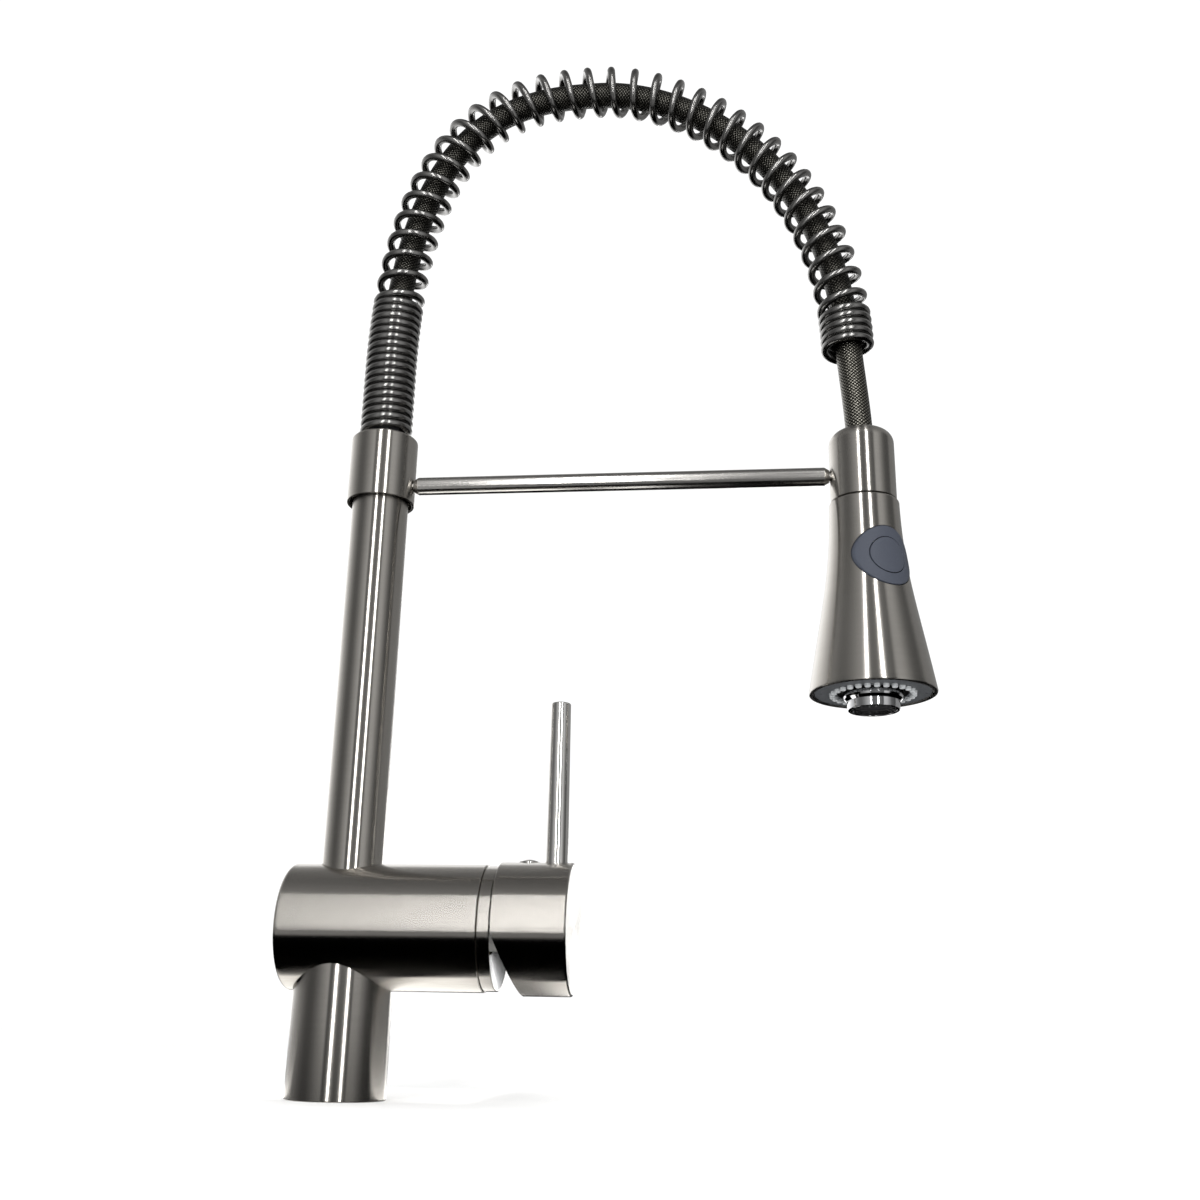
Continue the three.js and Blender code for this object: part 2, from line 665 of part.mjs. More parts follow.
// A band of the trumpet's wall between two offsets, as high as the pad.
function trumpetBand(innerOffset, outerOffset) {
  const band = (offset) => trumpetLine(offset).filter(([, z]) => z > 225 && z < 284);
  return turned([...band(outerOffset), ...band(innerOffset).reverse()], 28);
}

function buttonPad() {
  const pad = trumpetBand(-SHELL_WALL, 0.8).intersect(padCutter(PAD_RADIUS));
  return pad.subtract(padCutter(BUTTON_RADIUS + GAP));
}

function button() {
  return trumpetBand(-2.2, 1.2).intersect(padCutter(BUTTON_RADIUS));
}

function radialBar(radius, low, high, sides = 16) {
  const geometry = toGeometry(barAlongY(radius, low, high, { z: PAD_HEIGHT, sides }));
  geometry.rotateZ(PAD_TURN);
  return toSolid(geometry);
}

function sprayWaterway() {
  const body = turned([
    [4, 188.4], [10.4, 188.4], [10.4, 193.5], [26.6, 193.5], [26.6, 197], [12.5, 206], [12.5, 276],
    [NECK_RADIUS, 277], [NECK_RADIUS, 295.6], [6.5, 295.6], [6.5, 281], [4, 281],
  ]);
  return body.subtract(radialBar(3.4, -14, 3));
}

function nibPlaces() {
  return Array.from({ length: NIB_COUNT }, (_, i) => {
    const angle = 2 * Math.PI * i / NIB_COUNT;
    return { x: NIB_RING * Math.cos(angle), y: NIB_RING * Math.sin(angle) };
  });
}

function sprayFace() {
  let face = turned([
    [14.7, FACE_BOTTOM], [27.6, FACE_BOTTOM], [27.9, FACE_BOTTOM + 0.3], [27.9, 191.4], [14.7, 191.4],
  ]);
  for (const place of nibPlaces()) {
    face = face.subtract(bar(1.9, FACE_BOTTOM - CUT, 192, { ...place, sides: 6 }));
  }
  return face;
}

function nozzleMat() {
  let mat = sleeve(15.2, 25, 191.7, 193.2, ROUND);
  for (const place of nibPlaces()) {
    mat = mat.add(bar(1.55, FACE_BOTTOM - 1.5, 192.4, { ...place, sides: 6 }));
  }
  return mat;
}

function aeratorNut() {
  return turned([
    [10.8, MOUTH_BOTTOM], [12.2, MOUTH_BOTTOM], [12.5, MOUTH_BOTTOM + 0.3], [12.7, 185], [14, 186.2],
    [14.3, 187], [14.3, 193.2], [10.8, 193.2],
  ]);
}

add(dock, 'spray_shell', sprayShell(), metal(NICKEL));
add(dock, 'spray_waterway', sprayWaterway(), plastic(NYLON));
add(dock, 'spray_face', sprayFace(), plastic(FACE_GREY));
add(dock, 'nozzle_mat', nozzleMat(), plastic(SILICONE, 0.7));
add(dock, 'aerator_nut', aeratorNut(), metal(BRIGHT_STEEL, 0.15));
add(dock, 'aerator_insert', bar(10.4, 182.6, 188), plastic(BLACK_RUBBER));
add(dock, 'button_pad', buttonPad(), plastic(RUBBER_BLUE, 0.7));
add(dock, 'spray_button', button(), plastic(RUBBER_BLUE, 0.6));
add(dock, 'button_plunger', radialBar(3, -16.3, -1.5), plastic(NYLON));

export default faucet;
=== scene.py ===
import json
import math

import bmesh
import bpy
import numpy as np
from mathutils import Matrix, Vector


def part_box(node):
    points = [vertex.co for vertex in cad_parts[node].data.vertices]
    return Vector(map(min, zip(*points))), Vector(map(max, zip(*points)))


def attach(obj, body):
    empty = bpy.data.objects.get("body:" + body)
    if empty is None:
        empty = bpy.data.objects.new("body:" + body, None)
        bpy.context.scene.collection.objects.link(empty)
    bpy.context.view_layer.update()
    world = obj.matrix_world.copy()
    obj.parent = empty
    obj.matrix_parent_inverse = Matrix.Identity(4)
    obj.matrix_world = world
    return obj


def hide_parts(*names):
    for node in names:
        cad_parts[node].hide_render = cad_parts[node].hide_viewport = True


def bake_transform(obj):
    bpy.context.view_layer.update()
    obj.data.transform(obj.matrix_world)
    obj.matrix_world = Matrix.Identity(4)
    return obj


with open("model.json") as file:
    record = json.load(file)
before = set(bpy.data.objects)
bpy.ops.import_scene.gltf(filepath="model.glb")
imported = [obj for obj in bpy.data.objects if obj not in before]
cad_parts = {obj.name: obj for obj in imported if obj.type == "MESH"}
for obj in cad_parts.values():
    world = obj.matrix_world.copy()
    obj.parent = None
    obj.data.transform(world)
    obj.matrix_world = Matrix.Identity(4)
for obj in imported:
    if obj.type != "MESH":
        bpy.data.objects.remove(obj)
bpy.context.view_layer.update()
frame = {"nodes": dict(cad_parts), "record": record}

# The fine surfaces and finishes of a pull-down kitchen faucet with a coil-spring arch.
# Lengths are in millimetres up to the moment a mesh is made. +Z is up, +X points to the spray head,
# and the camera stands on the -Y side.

record = frame["record"]
body_of = {node: body for body, nodes in record["behaviour"]["bodies"].items() for node in nodes}
slot_of = {part["node"]: part["material_slot"] for part in record["subparts"]}

MM = 0.001
FINE_SIDES = 192                 # sides of the widest turned pieces
SIDES = 128                      # sides of a large turned piece
SMALL_SIDES = 64                 # sides of a small turned piece


def radius_of(node, axis=1):
    """Half of a node's width in millimetres, along Y unless another axis is given."""
    low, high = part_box(node)
    return (high[axis] - low[axis]) / 2 / MM


def ends_of(node, axis=2):
    """Where a node starts and ends in millimetres, along Z unless another axis is given."""
    low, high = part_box(node)
    return low[axis] / MM, high[axis] / MM


# ---------------------------------------------------------------- driving dimensions

MIXER_HEIGHT = 77                # mixer axis above the deck
REACH = 250.5                    # riser axis to spray axis
ARM_HEIGHT = 303
LEVER_ALONG = 99                 # where the lever rod stands along the mixer axis
SCREW_ALONG = 86                 # where the handle screw and its plug stand
CAP_CAVITY = 27.8                # radius of the hollow in the handle cap

COIL_RADIUS = 11.8               # spring axis to wire centre
WIRE_RADIUS = 2.12
CLOSED_PITCH = 4.33
CLOSED_COILS_LEFT = 18.7
CLOSED_COILS_RIGHT = 5
OPEN_COILS = 32.5
ARCH_START = 329.8
LEG_TOP = 370
APEX = (110.8, 548.3)
ARCH_END = (246, 373)

HOSE_RADIUS = 6.9
HOSE_SAG = 2.2                   # how far the hose lies below the spring's centre at the apex
HOSE_START = 121.4
TAIL_TOP = 391.7
TAIL_BOTTOM = 304
BRAID_STRANDS = 20               # strands wound each way
BRAID_LEAD = 36                  # length of hose over which a strand goes round once
WIRES_PER_STRAND = 4
WEAVE_LIFT = 0.28                # how far a strand rises over the next, as a share of its relief
STRAND_CROWN = 0.5               # how far a strand's middle stands above its edges, likewise

PAD_TURN = math.radians(27)      # the pad faces this far from the front, towards +X
PAD_HEIGHT = 253.5
PAD_RADIUS = 15.8
BUTTON_RADIUS = 9.4
NIB_COUNT = 28
NIB_RING = 19.4
RECESS_RADIUS = 17.1             # edge of the recess round the nozzle
FACE_BOTTOM = 188.9
MOUTH_BOTTOM = 180.4

ALONG_MIXER = Matrix.Translation((0, 0, MIXER_HEIGHT)) @ Matrix.Rotation(math.radians(90), 4, "Y")
ON_RISER = Matrix.Identity(4)
AT_DOCK = Matrix.Translation((REACH, 0, 0))
ALONG_ARM = Matrix.Translation((0, 0, ARM_HEIGHT)) @ Matrix.Rotation(math.radians(90), 4, "Y")
TO_PAD = Matrix.Translation((REACH, 0, PAD_HEIGHT)) @ Matrix.Rotation(PAD_TURN, 4, "Z")


def standing_on_cap(along):
    """Place of a piece that stands on the handle cap, measured up from the mixer axis."""
    return Matrix.Translation((along, 0, MIXER_HEIGHT))


# ---------------------------------------------------------------- mesh helpers

def new_object(name, vertices, faces):
    mesh = bpy.data.meshes.new(name)
    mesh.from_pydata([tuple(v) for v in np.asarray(vertices) * MM], [], faces)
    mesh.update()
    piece = bpy.data.objects.new(name, mesh)
    bpy.context.scene.collection.objects.link(piece)
    return piece


def face_outwards(piece):
    work = bmesh.new()
    work.from_mesh(piece.data)
    bmesh.ops.recalc_face_normals(work, faces=work.faces)
    work.to_mesh(piece.data)
    work.free()


def move(piece, place):
    """Moves a piece's mesh by a matrix in millimetres."""
    piece.data.transform(Matrix.Scale(MM, 4) @ place @ Matrix.Scale(1 / MM, 4))


def smooth(piece, angle=32):
    """Smooth shading that keeps the edges sharper than angle, with the large faces kept true."""
    piece.data.shade_smooth()
    piece.data.set_sharp_from_angle(angle=math.radians(angle))
    weights = piece.modifiers.new("face weights", "WEIGHTED_NORMAL")
    weights.keep_sharp = True
    weights.weight = 100
    return piece


def rounded(corners, steps=6):
    """A closed outline of (radius, height, fillet) corners, with each fillet drawn as an arc."""
    points = []
    for i, (r, z, fillet) in enumerate(corners):
        here = Vector((r, z))
        if fillet == 0:
            points.append(here)
            continue
        back = (Vector(corners[i - 1][:2]) - here).normalized()
        ahead = (Vector(corners[(i + 1) % len(corners)][:2]) - here).normalized()
        half = back.angle(ahead) / 2
        centre = here + (back + ahead).normalized() * fillet / math.sin(half)
        start = here + back * fillet / math.tan(half) - centre
        end = here + ahead * fillet / math.tan(half) - centre
        first = math.atan2(start.y, start.x)
        sweep = (math.atan2(end.y, end.x) - first + math.pi) % (2 * math.pi) - math.pi
        for k in range(steps + 1):
            angle = first + sweep * k / steps
            points.append(centre + fillet * Vector((math.cos(angle), math.sin(angle))))
    return [(p.x, p.y) for p in points]


def lathe(name, outline, sides=SIDES, place=None):
    """A solid of revolution about Z from a closed outline of (radius, height) points."""
    axis_limit = 1e-6
    turns = np.arange(sides) * 2 * math.pi / sides
    vertices = []
    rings = []
    for r, z in outline:
        start = len(vertices)
        if r < axis_limit:
            vertices.append((0, 0, z))
            rings.append([start] * sides)
        else:
            vertices += [(r * math.cos(t), r * math.sin(t), z) for t in turns]
            rings.append(list(range(start, start + sides)))
    faces = []
    for lower, upper in zip(rings, rings[1:] + rings[:1]):
        for k in range(sides):
            corners = (lower[k], lower[(k + 1) % sides], upper[(k + 1) % sides], upper[k])
            face = list(dict.fromkeys(corners))
            if len(face) > 2:
                faces.append(face)
    piece = new_object(name, vertices, faces)
    face_outwards(piece)
    if place is not None:
        move(piece, place)
    return piece


def cylinder(radius, low, high, place=None, sides=SMALL_SIDES):
    return lathe("cutter", [(0, low), (radius, low), (radius, high), (0, high)], sides, place)


def block(low, high, place=None):
    """A plain box between two corners."""
    corners = [(x, y, z) for x in (low[0], high[0]) for y in (low[1], high[1]) for z in (low[2], high[2])]
    faces = [(0, 1, 3, 2), (4, 6, 7, 5), (0, 4, 5, 1), (2, 3, 7, 6), (0, 2, 6, 4), (1, 5, 7, 3)]
    piece = new_object("cutter", corners, faces)
    face_outwards(piece)
    if place is not None:
        move(piece, place)
    return piece


def apply_modifiers(piece):
    depsgraph = bpy.context.evaluated_depsgraph_get()
    made = bpy.data.meshes.new_from_object(piece.evaluated_get(depsgraph))
    piece.modifiers.clear()
    piece.data = made


def combine(piece, operation, *tools):
    """Cuts piece with the tools or joins them to it, and removes the tools."""
    for tool in tools:
        step = piece.modifiers.new(operation, "BOOLEAN")
        step.operation = operation
        step.solver = "EXACT"
        step.object = tool
        apply_modifiers(piece)
        bpy.data.objects.remove(tool)
    return piece


def cut(piece, *cutters):
    return combine(piece, "DIFFERENCE", *cutters)


def tube(name, path, reference, radius, sides, height=None):
    """A round tube along path. Each ring starts at the reference direction, and height(turn, along)
    raises its surface. Its UV map holds turns round the tube and millimetres along it."""
    path = np.asarray(path, float)
    tangent = np.gradient(path, axis=0)
    tangent /= np.linalg.norm(tangent, axis=1)[:, None]
    normal = np.asarray(reference, float) * np.ones_like(path)
    normal -= (normal * tangent).sum(1)[:, None] * tangent
    normal /= np.linalg.norm(normal, axis=1)[:, None]
    side = np.cross(tangent, normal)
    along = np.concatenate([[0], np.cumsum(np.linalg.norm(np.diff(path, axis=0), axis=1))])
    turn = np.arange(sides) / sides
    out = (np.cos(2 * math.pi * turn)[None, :, None] * normal[:, None, :]
           + np.sin(2 * math.pi * turn)[None, :, None] * side[:, None, :])
    reach = radius + (height(turn[None, :], along[:, None]) if height else np.zeros((len(path), sides)))
    vertices = (path[:, None, :] + out * reach[:, :, None]).reshape(-1, 3)
    rings = len(path)
    faces = []
    uvs = []
    for i in range(rings - 1):
        for k in range(sides):
            after = (k + 1) % sides
            faces.append((i * sides + k, i * sides + after, (i + 1) * sides + after, (i + 1) * sides + k))
            left, right = k / sides, (k + 1) / sides
            uvs += [left, along[i], right, along[i], right, along[i + 1], left, along[i + 1]]
    for cap in (list(range(sides))[::-1], list(range((rings - 1) * sides, rings * sides))):
        faces.append(cap)
        uvs += [0.0, 0.0] * sides
    piece = new_object(name, vertices, faces)
    layer = piece.data.uv_layers.new(name="UVMap")
    layer.data.foreach_set("uv", np.asarray(uvs, np.float32))
    return piece


# ---------------------------------------------------------------- material helpers

class Wiring:
    """Short calls for building one material's nodes around its Principled shader."""

    def __init__(self, name):
        self.material = bpy.data.materials.new(name)
        self.material.use_nodes = True
        self.tree = self.material.node_tree
        self.shader = self.tree.nodes["Principled BSDF"]

    def set(self, **values):
        for key, value in values.items():
            self.shader.inputs[key.title()].default_value = value

    def node(self, kind, **settings):
        node = self.tree.nodes.new(kind)
        for key, value in settings.items():
            setattr(node, key, value)
        return node

    def feed(self, source, target):
        if isinstance(source, (int, float)):
            target.default_value = source
        else:
            self.tree.links.new(source, target)

    def math(self, operation, a, b=0.0):
        node = self.node("ShaderNodeMath", operation=operation)
        self.feed(a, node.inputs[0])
        self.feed(b, node.inputs[1])
        return node.outputs[0]

    def noise(self, scale, detail=2.0, roughness=0.5):
        """Noise over the object's own coordinates, with a separate scale per metre along each axis."""
        place = self.node("ShaderNodeTexCoord")
        mapping = self.node("ShaderNodeMapping")
        mapping.inputs["Scale"].default_value = scale
        self.feed(place.outputs["Object"], mapping.inputs["Vector"])
        noise = self.node("ShaderNodeTexNoise")
        noise.inputs["Scale"].default_value = 1.0
        noise.inputs["Detail"].default_value = detail
        noise.inputs["Roughness"].default_value = roughness
        self.feed(mapping.outputs["Vector"], noise.inputs["Vector"])
        return noise.outputs[0]

    def spread(self, value, low, high):
        """Maps 0.25 to 0.75, where most of a noise lies, onto low to high."""
        node = self.node("ShaderNodeMapRange")
        node.inputs["From Min"].default_value = 0.25
        node.inputs["From Max"].default_value = 0.75
        node.inputs["To Min"].default_value = low
        node.inputs["To Max"].default_value = high
        self.feed(value, node.inputs["Value"])
        return node.outputs[0]

    def blend(self, factor, color_a, color_b):
        node = self.node("ShaderNodeMix", data_type="RGBA")
        self.feed(factor, node.inputs["Factor"])
        node.inputs[6].default_value = (*color_a, 1)
        node.inputs[7].default_value = (*color_b, 1)
        return node.outputs[2]

    def color(self, factor, color_a, color_b):
        self.feed(self.blend(factor, color_a, color_b), self.shader.inputs["Base Color"])

    def roughness(self, value):
        self.feed(value, self.shader.inputs["Roughness"])

    def bump(self, height, distance):
        """Raises the surface by height times distance, in millimetres."""
        node = self.node("ShaderNodeBump")
        node.inputs["Strength"].default_value = 1.0
        node.inputs["Distance"].default_value = distance * MM
        self.feed(height, node.inputs["Height"])
        self.feed(node.outputs["Normal"], self.shader.inputs["Normal"])

    def object_place(self):
        """The point in the object's own coordinates, as a node with X, Y and Z outputs."""
        place = self.node("ShaderNodeSeparateXYZ")
        self.feed(self.node("ShaderNodeTexCoord").outputs["Object"], place.inputs["Vector"])
        return place

    def squared_distance(self, a, b):
        """Squared length of the vector (a, b)."""
        return self.math("ADD", self.math("POWER", a, 2), self.math("POWER", b, 2))

    def handle_cavity_shade(self):
        """Mask of painted shade: 1 on what lies within the handle cap's cavity, 0 elsewhere."""
        start, end, ring_end, widening = 68, 106, 73.2, 1.2
        place = self.object_place()
        along = place.outputs["X"]
        level = self.math("SUBTRACT", place.outputs["Z"], MIXER_HEIGHT * MM)
        off_axis = self.squared_distance(place.outputs["Y"], level)
        past_ring = self.math("GREATER_THAN", along, ring_end * MM)
        reach = self.math("ADD", self.math("MULTIPLY", past_ring, widening * MM), CAP_CAVITY * MM)
        near = self.math("LESS_THAN", off_axis, self.math("POWER", reach, 2))
        past_barrel = self.math("GREATER_THAN", along, start * MM)
        before_end = self.math("LESS_THAN", along, end * MM)
        return self.math("MULTIPLY", near, self.math("MULTIPLY", past_barrel, before_end))

    def nozzle_recess_shade(self):
        """Mask of painted shade: 1 inside the recess round the nozzle, 0 elsewhere."""
        place = self.object_place()
        across = self.math("SUBTRACT", place.outputs["X"], REACH * MM)
        off_axis = self.squared_distance(across, place.outputs["Y"])
        return self.math("LESS_THAN", off_axis, (RECESS_RADIUS * MM) ** 2)

    def with_painted_shade(self, color, mask):
        """The colour with painted shade: nearly black where the mask is 1."""
        near_black = 0.015
        node = self.node("ShaderNodeMix", data_type="RGBA")
        self.feed(mask, node.inputs["Factor"])
        self.feed(color, node.inputs[6])
        node.inputs[7].default_value = (near_black, near_black, near_black, 1)
        return node.outputs[2]

    def turned_grain(self, axis):
        """Highlights spread along the axis that the piece was brushed round."""
        tangent = self.node("ShaderNodeTangent", direction_type="RADIAL", axis=axis)
        self.feed(tangent.outputs["Tangent"], self.shader.inputs["Tangent"])
        self.shader.inputs["Anisotropic Rotation"].default_value = 0.25


def brushed_nickel(name, axis, grain, depth, smoothest, roughest, painted_shade_mask=None):
    """Satin nickel brushed round an axis. Grain is the streaks' scale per metre and depth their relief.
    The shade mask, if given, picks the faces where nearly black shade is painted."""
    m = Wiring(name)
    m.set(metallic=1.0, anisotropic=1.0)
    m.turned_grain(axis)
    streaks = m.noise(grain, detail=3.0, roughness=0.6)
    cloud = m.noise((35, 35, 35), detail=4.0)
    tone_and_shade = m.blend(m.math("MULTIPLY", streaks, cloud), (0.45, 0.43, 0.40), (0.34, 0.322, 0.295))
    # Painted shade: the tone goes nearly black on the faces that the mask picks.
    if painted_shade_mask:
        tone_and_shade = m.with_painted_shade(tone_and_shade, painted_shade_mask(m))
    m.feed(tone_and_shade, m.shader.inputs["Base Color"])
    m.roughness(m.spread(m.math("ADD", m.math("MULTIPLY", streaks, 0.6), m.math("MULTIPLY", cloud, 0.4)),
                         smoothest, roughest))
    m.bump(streaks, depth)
    return m.material


def spring_wire():
    m = Wiring("spring_wire")
    m.set(metallic=1.0)
    cloud = m.noise((160, 160, 160), detail=4.0)
    drawn = m.noise((900, 900, 900), detail=2.0)
    m.color(cloud, (0.26, 0.256, 0.248), (0.19, 0.186, 0.181))
    m.roughness(m.spread(drawn, 0.2, 0.26))
    m.bump(drawn, 0.002)
    return m.material


def bright_steel():
    """Drawn steel with fine lengthwise streaks."""
    m = Wiring("bright_steel")
    m.set(metallic=1.0)
    streaks = m.noise((900, 900, 40), detail=3.0, roughness=0.6)
    m.color(streaks, (0.70, 0.69, 0.67), (0.56, 0.55, 0.53))
    m.roughness(m.spread(streaks, 0.1, 0.2))
    m.bump(streaks, 0.01)
    return m.material


def drawn_arm():
    """The same drawn steel, with its streaks along the arm."""
    m = Wiring("arm_steel")
    m.set(metallic=1.0)
    streaks = m.noise((40, 900, 900), detail=3.0, roughness=0.6)
    m.color(streaks, (0.62, 0.605, 0.58), (0.52, 0.505, 0.48))
    m.roughness(m.spread(streaks, 0.16, 0.26))
    m.bump(streaks, 0.006)
    return m.material


def chrome():
    m = Wiring("chrome")
    m.set(metallic=1.0)
    smear = m.noise((120, 120, 500), detail=3.0)
    m.color(smear, (0.66, 0.66, 0.67), (0.54, 0.54, 0.55))
    m.roughness(m.spread(smear, 0.05, 0.12))
    m.bump(smear, 0.004)
    return m.material


def brass():
    m = Wiring("brass")
    m.set(metallic=1.0)
    rings = m.noise((60, 60, 1500), detail=2.0)
    m.color(m.noise((90, 90, 90)), (0.78, 0.58, 0.28), (0.58, 0.41, 0.18))
    m.roughness(m.spread(rings, 0.25, 0.4))
    m.bump(rings, 0.01)
    return m.material


def moulded(name, light, dark, roughness, depth=0.02, painted_shade_mask=None):
    """Moulded plastic or rubber: a fine spark-eroded grain and a slow drift of tone. The shade mask,
    if given, picks the faces where nearly black shade is painted."""
    grain, drift, roughness_spread = 1400, 70, 0.06
    m = Wiring(name)
    m.set(metallic=0.0)
    fine = m.noise((grain, grain, grain))
    tone = m.blend(m.noise((drift, drift, drift), detail=4.0), light, dark)
    # Painted shade: the tone goes nearly black on the faces that the mask picks.
    if painted_shade_mask:
        tone = m.with_painted_shade(tone, painted_shade_mask(m))
    m.feed(tone, m.shader.inputs["Base Color"])
    m.roughness(m.spread(fine, roughness - roughness_spread, roughness + roughness_spread))
    m.bump(fine, depth)
    return m.material


def braid(name, along, crest):
    """A sleeve of flat wire strands, each over one and under the next, with the colour crest on top and
    painted shade, nearly black, in the low parts of the weave.
    The way round comes from the UV map, and the way along from it too, or from the height above the
    deck on the stretch that moves."""
    m = Wiring(name)
    m.set(metallic=1.0)
    split = m.node("ShaderNodeSeparateXYZ")
    m.feed(m.node("ShaderNodeUVMap", uv_map="UVMap").outputs["UV"], split.inputs["Vector"])
    around = m.math("MULTIPLY", split.outputs["X"], BRAID_STRANDS)
    length = split.outputs["Y"]
    if along == "height":
        length = m.math("MULTIPLY", m.object_place().outputs["Z"], 1 / MM)
    climb = m.math("MULTIPLY", length, BRAID_STRANDS / BRAID_LEAD)
    one = m.math("ADD", around, climb)
    other = m.math("SUBTRACT", around, climb)
    strands = []
    for mine, crossing, start in ((one, other, 0.0), (other, one, 1.0)):
        number = m.math("FLOOR", mine)
        place = m.math("FRACT", mine)
        wave = m.math("ADD", m.math("ADD", crossing, number), start - 0.5)
        over = m.math("COSINE", m.math("MULTIPLY", wave, math.pi))
        crown = m.math("SINE", m.math("MULTIPLY", place, math.pi))
        wires = m.math("COSINE", m.math("MULTIPLY", place, 2 * WIRES_PER_STRAND * math.pi))
        shape = m.math("ADD", m.math("MULTIPLY", over, WEAVE_LIFT), m.math("MULTIPLY", crown, STRAND_CROWN))
        strands.append(m.math("ADD", shape, m.math("MULTIPLY", wires, 0.05)))
    relief = m.math("MAXIMUM", strands[0], strands[1])
    # Painted shade: where the weave lies low the colour goes nearly black.
    shade = m.node("ShaderNodeMapRange")
    shade.inputs["From Min"].default_value = 0.5
    shade.inputs["From Max"].default_value = 0.78
    m.feed(relief, shade.inputs["Value"])
    m.color(shade.outputs[0], (0.012, 0.0115, 0.01), crest)
    m.roughness(m.spread(m.noise((600, 600, 600)), 0.24, 0.38))
    m.bump(relief, 0.35)
    return m.material


RING_GRAIN = (8, 8, 1300)        # hairlines round a vertical axis
BARREL_GRAIN = (90, 1300, 1300)  # streaks along the barrel

nickel_upright = brushed_nickel("brushed_nickel", "Z", RING_GRAIN, 0.0003, 0.22, 0.26)
# The barrel, ring and cap nickel carries painted shade, nearly black, inside the handle cap's cavity.
nickel_barrel = brushed_nickel("brushed_nickel_barrel", "X", BARREL_GRAIN, 0.0012, 0.23, 0.28,
                               painted_shade_mask=Wiring.handle_cavity_shade)

materials = {
    "brushed_nickel": nickel_upright,
    "spring_wire": spring_wire(),
    "bright_steel": bright_steel(),
    # The hose in the arch takes a darker crest than the tail: painted shade for the hose within the
    # spring's coils.
    "braid": braid("braid", "uv", (0.14, 0.135, 0.12)),
    "brass": brass(),
    "nylon": moulded("nylon", (0.80, 0.79, 0.75), (0.70, 0.69, 0.65), 0.45),
    "ceramic": moulded("ceramic", (0.88, 0.87, 0.84), (0.80, 0.79, 0.76), 0.15, depth=0.002),
    "black_rubber": moulded("black_rubber", (0.035, 0.035, 0.037), (0.018, 0.018, 0.02), 0.5),
    "blue_rubber": moulded("blue_rubber", (0.040, 0.047, 0.066), (0.034, 0.040, 0.057), 0.66, depth=0.008),
    # The face plastic carries painted shade, nearly black, in the recess round the nozzle.
    "face_plastic": moulded("face_plastic", (0.085, 0.09, 0.097), (0.068, 0.072, 0.078), 0.45,
                            painted_shade_mask=Wiring.nozzle_recess_shade),
    "silicone": moulded("silicone", (0.46, 0.475, 0.485), (0.38, 0.395, 0.405), 0.5),
    "chrome": chrome(),
}
# The same braid for the tail, with a paler crest than the arch's painted shade.
braid_tail = braid("braid_tail", "height", (0.36, 0.345, 0.30))
arm_steel = drawn_arm()


def stand_for(piece, node, material=None, ride=True):
    """The piece takes the place of a CAD node, with its material and its body."""
    piece.name = f"fine_{node}"
    piece.data.name = piece.name
    piece.data.materials.clear()
    piece.data.materials.append(material or materials[slot_of[node]])
    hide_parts(node)
    if ride:
        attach(piece, body_of[node])
    return piece


# ---------------------------------------------------------------- base, barrel, ring and riser

SEAM = 0.15                      # gap round a tube where it enters the barrel


def base_column():
    outer = radius_of("base_column")
    low, high = ends_of("base_column")
    inner = 20.5
    piece = lathe("base", rounded([
        (inner, low, 0.4), (outer, low, 0.6), (outer, high, 0.3), (inner, high, 0),
    ]))
    stand_for(smooth(piece), "base_column")


def mixer_barrel():
    outer = radius_of("mixer_barrel")
    left, right = ends_of("mixer_barrel", 0)
    bore, end_wall = 26.4, 3
    piece = lathe("barrel", rounded([
        (0, left, 0), (outer, left, 2), (outer, right, 0.4), (bore, right, 0.3),
        (bore, left + end_wall, 0), (0, left + end_wall, 0),
    ]), FINE_SIDES, ALONG_MIXER)
    near, far = 5, 40                # where the holes start and end, from the mixer axis
    base_hole = cylinder(radius_of("base_column") + SEAM, MIXER_HEIGHT - far, MIXER_HEIGHT - near,
                         sides=SIDES)
    riser_hole = cylinder(radius_of("riser_tube") + SEAM, MIXER_HEIGHT + near, MIXER_HEIGHT + far,
                          sides=SIDES)
    cut(piece, base_hole, riser_hole)
    stand_for(smooth(piece), "mixer_barrel", nickel_barrel)


def trim_ring():
    outer = radius_of("trim_ring")
    left, right = ends_of("trim_ring", 0)
    bore, hollow = 12.2, 4       # the face sinks towards its bore
    piece = lathe("ring", rounded([
        (bore, left, 0), (outer, left, 0.4), (outer, right, 0.5), (outer - 1, right, 0),
        (bore, right - hollow, 0),
    ]), FINE_SIDES, ALONG_MIXER)
    stand_for(smooth(piece), "trim_ring", nickel_barrel)


def riser_tube():
    outer = radius_of("riser_tube")
    low, high = ends_of("riser_tube")
    inner = 13
    piece = lathe("riser", rounded([
        (inner, low, 0), (outer, low, 0), (outer, high, 0.3), (inner, high, 0),
    ]))
    stand_for(smooth(piece), "riser_tube")


# ---------------------------------------------------------------- handle

def slant_cutter(start):
    """A wedge that slants the lower half of the cap's open edge away from the barrel."""
    slant, drop, reach, half, back = math.radians(23.5), 3.5, 40, 40, 5
    edge = start + (reach - drop) * math.tan(slant)
    outline = [(start - back, -drop), (start, -drop), (edge, -reach), (start - back, -reach)]
    vertices = [(x, y, MIXER_HEIGHT + z) for y in (-half, half) for x, z in outline]
    faces = [(0, 1, 2, 3), (7, 6, 5, 4), (0, 4, 5, 1), (1, 5, 6, 2), (2, 6, 7, 3), (3, 7, 4, 0)]
    piece = new_object("cutter", vertices, faces)
    face_outwards(piece)
    return piece


